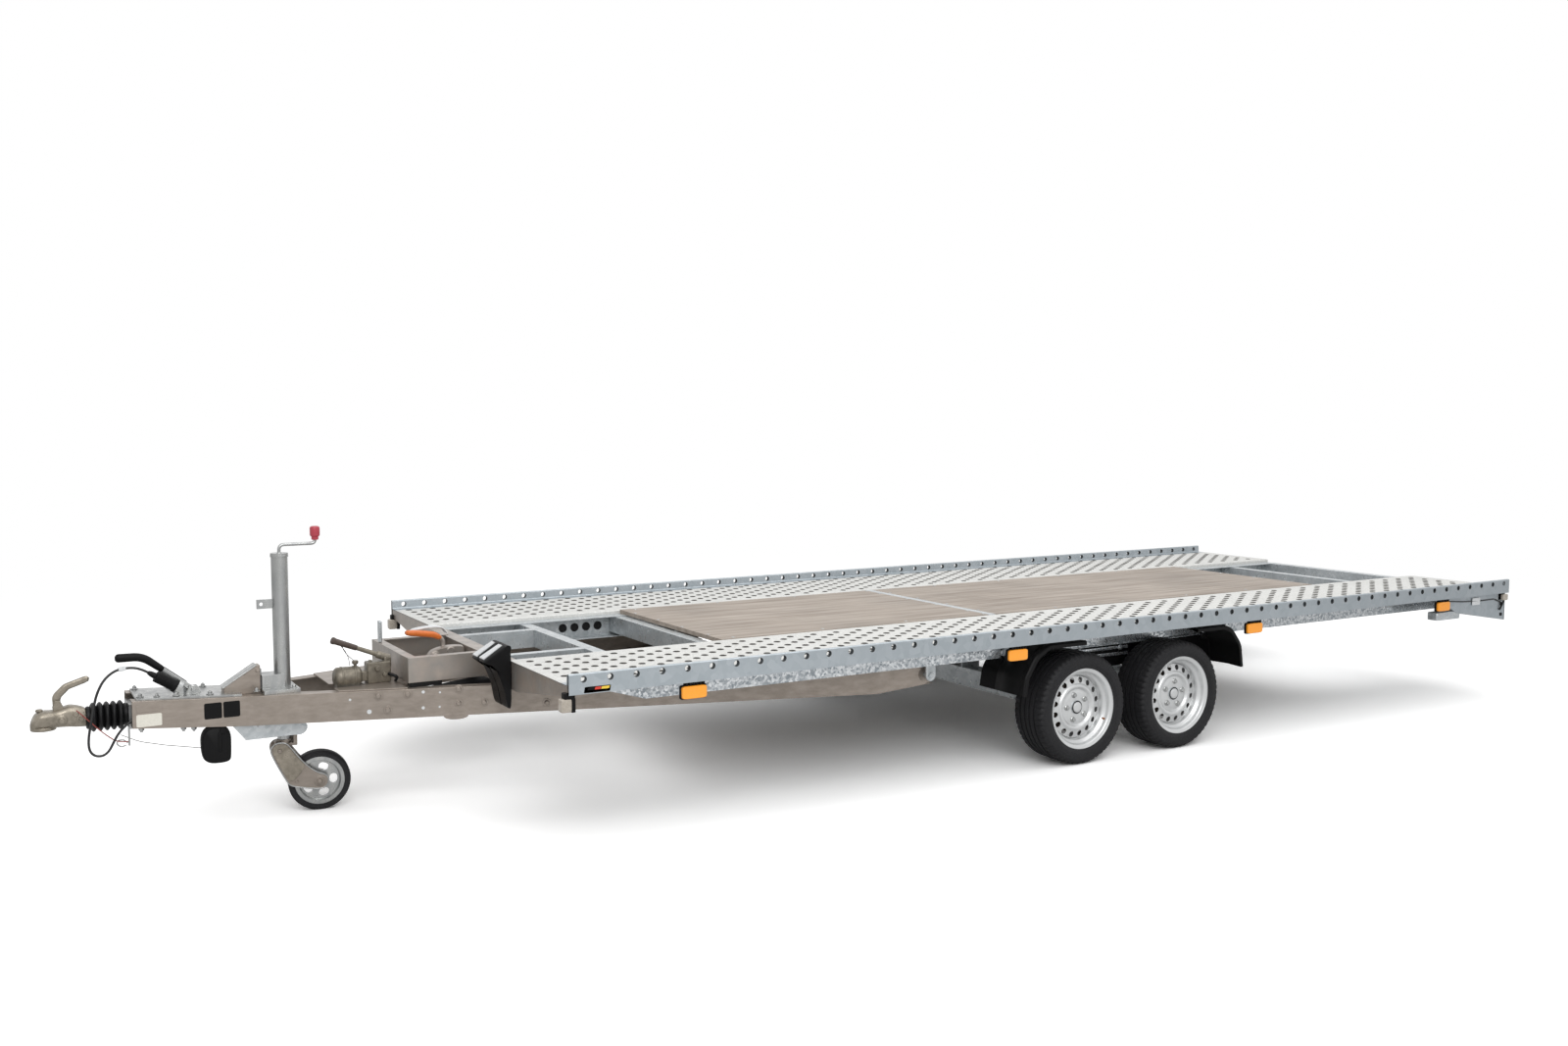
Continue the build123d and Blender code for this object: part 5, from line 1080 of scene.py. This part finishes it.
for out in (1, -1):
    fork.append(slab(cheek, JACK + ASIDE * (0.031 if out == 1 else -0.037), LEAN, UP, 6, 1.8))
    face = JACK + ASIDE * out * 0.037
    fork += bolt(face + LEAN * AXLE + [0, 0, AXLE_Z], ASIDE * out, 19, tip=3)
    fork += bolt(face - LEAN * 0.018 + [0, 0, 0.246], ASIDE * out, 15)
    fork += bolt(face + LEAN * 0.04 + [0, 0, 0.122], ASIDE * out, 10, False)
axle = JACK + LEAN * AXLE + [0, 0, AXLE_Z]
fork.append(rod(axle + ASIDE * 0.03, axle - ASIDE * 0.03, 9, 20))
rings = []
for share, z in ((0.96, 0.252), (1, 0.254), (1, 0.2765), (0.94, 0.2785)):
    ring = rounded(50, 60, 12, 5) * share / 1000
    rings.append(JACK - LEAN * 0.01 + ring[:, :1] * LEAN + ring[:, 1:] * ASIDE + [0, 0, z])
fork.append(loft(rings))
fork.append(rod(JACK + [0, 0, 0.276], JACK + [0, 0, 0.286], 27.5, 32, 0.1))
tongue = [(2, 258), (47, 258), (48, 330), (42, 342), (35, 342), (33, 320), (33, 268), (2, 268)]
tongue = smooth_loop(tongue, 2, 0.04)
fork.append(slab(tongue, JACK - ASIDE * 0.012, LEAN, UP, 24))
# bright bead round each cheek's edge: a rounded edge, its brighter finish a painted highlight
rim_line = np.concatenate([cheek, cheek[:1]]) * 0.000995
rims = []
for out in (0.0372, -0.0372):
    rim = [JACK + ASIDE * out + LEAN * u + [0, 0, z] for u, z in rim_line]
    rims.append(carry(circle(2.8, 10), rim, ASIDE))
piece("jack_fork_rim_highlights", rims, PLATED, "jack_swivel", smooth=50, slot="galvanised_steel")
over = smooth_loop(
    [(-44, 238), (-43, 260), (-26, 273), (2, 270), (17, 253), (60, 196), (76, 182), (28, 120), (4, 136)],
    2,
)
upper = []
for out in (1, -1):
    base = JACK + ASIDE * (0.0372 if out == 1 else -0.0397)
    upper.append(slab(over, base, LEAN, UP, 2.5, 0.8))
piece("jack_fork_straps", upper, PASSIVATED, "jack_swivel", slot="galvanised_steel")
piece("jack_fork_plates", fork, DRAWBAR_ZINC, "jack_swivel", "jack_fork", slot="galvanised_steel")

# ---- hand pump ----
PUMP_Y = 0.1
tank = [(0, 0), (0, 28), (4, 34.5), (9, 39), (12, 40), (90, 40), (93, 38.5), (98, 34), (102, 25), (102, 0)]
pump = [lathe(tank, (2.362, PUMP_Y, 0.5113), AHEAD, 48)]
pump += [
    lathe([(0, 39), (0, 41.5), (6, 41.5), (6, 39)], (x, PUMP_Y, 0.5113), AHEAD, 48, True)
    for x in (2.385, 2.432)
]
pump += [
    pillow((2.297, PUMP_Y, 0.5225), (45, 30, 41), 0.12),
    pillow((2.332, PUMP_Y, 0.512), (36, 20, 20), 0.2),
    pillow((2.262, PUMP_Y, 0.56), (14, 22, 20), 0.2),
    rod((2.382, PUMP_Y, 0.545), (2.382, PUMP_Y, 0.562), 6, 16),
    lathe([(0, 0), (0, 10), (4, 12), (12, 12), (14, 9), (14, 0)], (2.382, PUMP_Y, 0.559), UP, 24),
    rod((2.306, PUMP_Y + 0.026, 0.54), (2.306, PUMP_Y + 0.046, 0.54), 10, 20),
    rod((2.278, PUMP_Y + 0.026, 0.515), (2.278, PUMP_Y + 0.042, 0.515), 8, 20),
]
for x in (2.268, 2.325):
    pump += bolt((x, PUMP_Y, 0.5625), UP, 12, False)
piece("pump_body", pump, OLIVE, "drawbar", "hand_pump", smooth=35)
LEVER_FOOT, LEVER_END = np.array([2.262, PUMP_Y, 0.575]), np.array([2.471, PUMP_Y, 0.659])
reach = unit(LEVER_END - LEVER_FOOT)
lever = [
    lathe(
        [(0, 0), (0, 13), (2, 14.5), (50, 14.5), (53, 12.5), (56, 9.5), (135, 8.5), (140, 0)],
        LEVER_FOOT - reach * 0.012, reach, 32,
    ),
    rod(LEVER_FOOT - [0, 0.024, 0], LEVER_FOOT + [0, 0.024, 0], 6, 16),
]
piece("pump_lever_tube", lever, OLIVE, "drawbar", "pump_lever", smooth=35)
sleeve = [(0, 0), (0, 9.8), (3, 10.8), (78, 11.8), (86, 12.2), (92, 13.8), (98, 13.8), (102, 10.5), (102, 0)]
sleeve = lathe(sleeve, LEVER_FOOT + reach * 0.122, reach, 32)
piece("pump_lever_sleeve", [sleeve], BROWN_GRIP, "drawbar", smooth=35)
wires = []
for start, end, sag in (
    ((2.448, PUMP_Y + 0.004, 0.648), (2.405, PUMP_Y + 0.004, 0.556), -0.012),
    ((2.43, PUMP_Y - 0.004, 0.641), (2.385, PUMP_Y - 0.004, 0.572), 0.01),
):
    start, end = np.array(start), np.array(end)
    t = np.linspace(0, 1, 16)[:, None]
    line = start + (end - start) * t + np.array([sag, 0, 0]) * 4 * t * (1 - t)
    wires.append(carry(circle(1.2, 8), line, LEFT))
piece("pump_lever_wires", wires, RUBBER, "drawbar", smooth=50)
hose = [
    (2.262, 0.13, 0.515), (2.235, 0.158, 0.505), (2.232, 0.12, 0.486), (2.225, 0.03, 0.45),
    (2.19, 0.012, 0.43), (2.165, 0.01, 0.398),
]
piece("pump_hose", [bent(circle(6.2, 16), hose, 0.03)], RUBBER, "drawbar", smooth=50)

# ---- platform front ----
LATCH_Y = -0.05
grip_line = [(1.996, LATCH_Y, 0.606), (2.03, LATCH_Y, 0.624), (2.08, LATCH_Y, 0.632), (2.144, LATCH_Y, 0.64)]
grip_line = between(filleted(grip_line, 0.05, 8), 0.004, 0.16, 24)
grow = np.interp(np.linspace(0, 1, 24), [0, 0.08, 0.2, 0.8, 0.95, 1], [0.5, 0.9, 1.0, 0.95, 0.8, 0.45])
grip = carry(round_section(19, -13, 13, 0.7, 28), grip_line, UP, grow)
piece("latch_grip", [grip], ORANGE_GRIP, smooth=50)
body = smooth_loop(
    [(1914, 522), (2072, 522), (2070, 545), (2046, 568), (1990, 580), (1930, 580), (1914, 572)], 2,
)
latch = [upright(body, -0.043, -46, 6), rod((1.975, -0.046, 0.562), (1.975, 0.006, 0.562), 16, 28, 0.2)]
latch += bolt((2.04, 0.003, 0.548), LEFT, 17)
stalk = [(1.992, LATCH_Y, 0.571), (1.994, LATCH_Y, 0.6), (2.012, LATCH_Y, 0.618)]
latch.append(bent(circle(10, 20), stalk, 0.02, 6, LEFT))
piece("latch_body", latch, SMOOTH_ZINC, "platform", "platform_latch", smooth=35)
piece("number_post", [pillow((2.215, -0.165, 0.636), (6, 14, 44), 0.15)], ZINC, smooth=35)
fold_line = [
    (2.122, -0.086, 0.63), (2.104, -0.084, 0.645), (2.062, -0.082, 0.651), (2.02, -0.082, 0.653),
    (1.985, -0.082, 0.648), (1.968, -0.082, 0.625),
]
sleeve = bent(rounded(44, 5, 2, 4), fold_line, 0.03, 5)
piece("document_sleeve", [sleeve], PALE_PLASTIC, smooth=40)
CHOCK_LINE = [
    (1912.5, 644), (1925, 656), (1940, 648), (2015, 603.5), (2016.5, 594), (1986, 585), (1968, 556),
    (1953, 520), (1940, 480), (1933, 440), (1928, 416), (1912.5, 414),
]
blocks, tops, eyes = [], [], []
for middle in (0.426, 0.504):
    line = smooth_loop(CHOCK_LINE, 2, 0.2)
    blocks.append(upright(line, middle + 0.033, 66, 3))
    for y in (middle - 0.0355, middle + 0.0325):
        edge_line = line.mean(axis=0) + (line - line.mean(axis=0)) * 0.96
        blocks.append(upright(edge_line, y + 0.003, 3, 1))
    # pale plate on the chock's top face: painted highlight on the black plastic
    top_start, top_end = np.array([1.936, middle, 0.651]), np.array([2.013, middle, 0.6065])
    run = float(np.linalg.norm(top_end - top_start)) * 1000
    face = [(0, -35), (0, -1), (run, 12), (run, -35)]
    tops.append(slab(face, top_start - [0.0015, 0, 0.0025], unit(top_end - top_start), LEFT, 5.5, 1))
    eyes.append(lathe([(-36, 5.5), (-36, 12), (36, 12), (36, 5.5)], (1.925, middle, 0.6435), LEFT, 28, True))
piece("chock_blocks", blocks, BLACK_PLASTIC, "platform", "wheel_chocks", smooth=35)
piece("chock_top_highlights", tops, PALE_PLASTIC, smooth=35)
piece("chock_eyes", eyes, BLACK_PLASTIC, smooth=35)

# stripes on a blank white film at the left rail's front lower corner
for film, name, x0, x1 in (
    (WHITE_LABEL, "rail_label", 1858, 1760), (BLACK_LABEL, "rail_stripe_black", 1845, 1820),
    (RED_STRIPE, "rail_stripe_red", 1818, 1796), (YELLOW_STRIPE, "rail_stripe_yellow", 1794, 1764),
):
    low, high, proud = (564.5, 586, 0.2) if name == "rail_label" else (574, 583, 0.4)
    outline = smooth_loop([(x0, low), (x0 - 4, high), (x1 - 4, high), (x1, low)], 2, 0.05)
    piece(name, [upright(outline, 1.0998, -proud, 0.1)], film, slot="galvanised_steel")

# ---- lamps ----
SIDE_LAMPS, LAMP_Z, FRONT_LAMP_Z, REAR_LAMP_Z = (1.424, -0.085, -1.516, -2.945), 0.523, 0.524, 0.463
lenses, shells, clips, whites, reds = [], [], [], [], []
for side in (1, -1):
    for x in SIDE_LAMPS:
        lenses += [
            pillow((x, side * 1.082, LAMP_Z), (50, 9, 23.5), 0.3, 40),
            pillow((x, side * 1.084, LAMP_Z), (33, 6.6, 12), 0.2, 32),
        ]
        shells.append(pillow((x, side * 1.0725, LAMP_Z), (53, 6.5, 26.2), 0.18, 32))
        clips.append(pillow((x - 0.004, side * 1.072, 0.565), (42, 2.2, 19), 0.12, 28))
        for step in np.linspace(-0.034, 0.034, 6):
            clips.append(pillow((x - 0.004 + step, side * 1.08, 0.5535), (4, 8, 7), 0.3, 16))
    whites.append(pillow((1.916, side * 1.0725, FRONT_LAMP_Z), (19.5, 17.8, 23.8), 0.25, 32))
    for step in np.linspace(-0.015, 0.015, 7):
        whites.append(pillow((1.918 + step, side * 1.09, FRONT_LAMP_Z), (1.2, 1.2, 20), 0.4, 12))
    shells += [
        pillow((1.8905, side * 1.0725, FRONT_LAMP_Z), (7, 18.3, 25.5), 0.18, 32),
        pillow((1.904, side * 1.0725, 0.556), (20, 16, 12), 0.2, 24),
    ]
    shells.append(pillow((-3.464, side * 0.94, REAR_LAMP_Z), (15, 94, 32.5), 0.12, 36))
    for y, wide, group in ((0.882, 36, reds), (0.94, 19, lenses), (0.993, 31, reds)):
        group.append(pillow((-3.48, side * y, REAR_LAMP_Z), (6.8, wide, 30), 0.22, 36))
for name, made, finish, node in (
    ("side_lamp_lenses", lenses, AMBER, "marker_lamps"),
    ("lamp_housings", shells, BLACK_PLASTIC, "marker_lamps"),
    ("lamp_clips", clips, BLACK_PLASTIC, None),
    ("front_lamp_lenses", whites, CLEAR, None),
    ("rear_lamp_lenses", reds, RED_LENS, None),
):
    piece(name, made, finish, "platform", node, smooth=50)

# ---- rear corners ----
cheeks, arms, heads, boxes, tags, leads = [], [], [], [], [], []
for side in (1, -1):
    outline = [(-2990, 561), (-2990, 518), (-3063, 480), (-3482, 414), (-3486, 418), (-3486, 561)]
    cheeks.append(upright(outline, side * 1.0775 + 0.0015, 3, 0.5))
    for z in (0.538, 0.5, 0.445):
        arms.append(pillow((-3.455, side * 1.0795, z), (10, 2, 8.5), 0.3, 20))
    stem = [(-3.436, side * 1.083, 0.47), (-3.452, side * 1.088, 0.5), (-3.464, side * 1.089, 0.522)]
    arms.append(bent(rounded(10, 6, 2, 3), stem, 0.02, 5, LEFT))
    heads.append(pillow((-3.467, side * 1.0885, 0.538), (20, 10.8, 17), 0.35, 28))
    boxes.append(pillow((-3.003, side * 1.0475, 0.469), (98, 29.5, 21), 0.15, 28))
    tags.append(pillow((-3.225, side * 1.0835, 0.53), (34, 1, 19), 0.15, 20))
    lead = [
        (-2.992, side * 1.08, 0.545), (-3.11, side * 1.0825, 0.536), (-3.245, side * 1.0815, 0.53),
        (-3.39, side * 1.0825, 0.532), (-3.452, side * 1.084, 0.508),
    ]
    leads.append(bent(circle(3, 10), lead, 0.08, 6))
piece("rear_cheeks", cheeks, RAIL_ZINC)
for name, made, finish in (
    ("rear_lamp_arms", arms, BLACK_PLASTIC), ("junction_boxes", boxes, ZINC),
    ("rear_lead_tags", tags, PALE_PLASTIC), ("rear_leads", leads, SHEATH), ("outline_lamps", heads, CLEAR),
):
    piece(name, made, finish, smooth=50)

# ---- fixings of the frame ----
SCREW = [(-1, 0), (-1, 8.5), (1.2, 8), (2.2, 5), (2.4, 0)]
PLY_TOP = 0.596
fixings = []
for side in (1, -1):
    for x in np.arange(0.93, -2.6, -0.44):
        fixings.append(lathe(SCREW, (x, side * 0.478, PLY_TOP), UP, 20))
    for x in (0.985, -0.389, -0.455, -2.629):
        for y in (0.12, 0.36):
            fixings.append(lathe(SCREW, (x, side * y, PLY_TOP), UP, 20))
piece("plywood_screws", fixings, PLATED, smooth=35, slot="galvanised_steel")
GROMMET = [(-4, 0), (-4, 20), (4, 20), (4, 15), (2, 13), (2, 0)]
grommets = []
for side in (1, -1):
    for step in range(4):
        x = 1.2 + (1.5 - step) * 0.0578
        grommets.append(lathe(GROMMET, (x, side * 0.5065, 0.53), LEFT, 28))
piece("web_grommets", grommets, RUBBER, smooth=35)

# ---- stage ----


def add_stage():
    """Pale floor and white surroundings. What the camera sees of them straight on is made
    brighter than what lights the trailer, so that the background is white."""
    size = 60.0
    mesh = bpy.data.meshes.new("floor")
    mesh.from_pydata(
        [(-size, -size, 0), (size, -size, 0), (size, size, 0), (-size, size, 0)], [], [(0, 1, 2, 3)],
    )
    floor = shown("floor", mesh)
    paint = bpy.data.materials.new("floor_paint")
    paint.use_nodes = True
    tree = paint.node_tree
    shader = tree.nodes["Principled BSDF"]
    shader.inputs["Roughness"].default_value = 0.9
    shader.inputs["Specular IOR Level"].default_value = 0.0
    seen = add(tree, "LightPath", {}).outputs["Is Camera Ray"]
    tone = add(
        tree, "Mix", {0: seen, 6: linear("#dadada"), 7: (1.25, 1.25, 1.25, 1.0)}, data_type="RGBA",
    ).outputs[2]
    tree.links.new(tone, shader.inputs["Base Color"])
    away = add(
        tree, "VectorMath", {0: add(tree, "TexCoord", {}).outputs["Object"]}, operation="LENGTH",
    ).outputs["Value"]
    far = add(
        tree, "MapRange", {"Value": away, "From Min": 4.5, "From Max": 9.0},
        interpolation_type="SMOOTHSTEP",
    ).outputs[0]
    glow = add(tree, "Math", {0: far, 1: seen}, operation="MULTIPLY").outputs[0]
    white = add(tree, "Emission", {"Color": (1, 1, 1, 1), "Strength": 1.0}).outputs[0]
    both = add(tree, "MixShader", {0: glow, 1: shader.outputs[0], 2: white}).outputs[0]
    tree.links.new(both, tree.nodes["Material Output"].inputs["Surface"])
    mesh.materials.append(paint)
    world = bpy.data.worlds.new("studio")
    world.use_nodes = True
    tree = world.node_tree
    ray = add(tree, "LightPath", {})
    direct = add(
        tree, "Math", {0: ray.outputs["Is Camera Ray"], 1: ray.outputs["Is Glossy Ray"]},
        operation="MAXIMUM",
    ).outputs[0]
    strength = add(tree, "MapRange", {"Value": direct, "To Min": 0.7, "To Max": 1.0}).outputs[0]
    tree.nodes["Background"].inputs["Color"].default_value = (1, 1, 1, 1)
    tree.links.new(strength, tree.nodes["Background"].inputs["Strength"])
    bpy.context.scene.world = world
    for name, place, size, power in (
        ("key", (3.0, 6.0, 5.0), 5.0, 260), ("top", (-1.0, 0.5, 6.0), 7.0, 200),
    ):
        lamp = bpy.data.lights.new(name, "AREA")
        lamp.size = size
        lamp.energy = power
        holder = shown(name, lamp)
        holder.location = place
        holder.rotation_euler = (Vector((0, 0, 0.4)) - Vector(place)).to_track_quat("-Z", "Y").to_euler()


add_stage()
bpy.context.scene.view_settings.view_transform = "Standard"
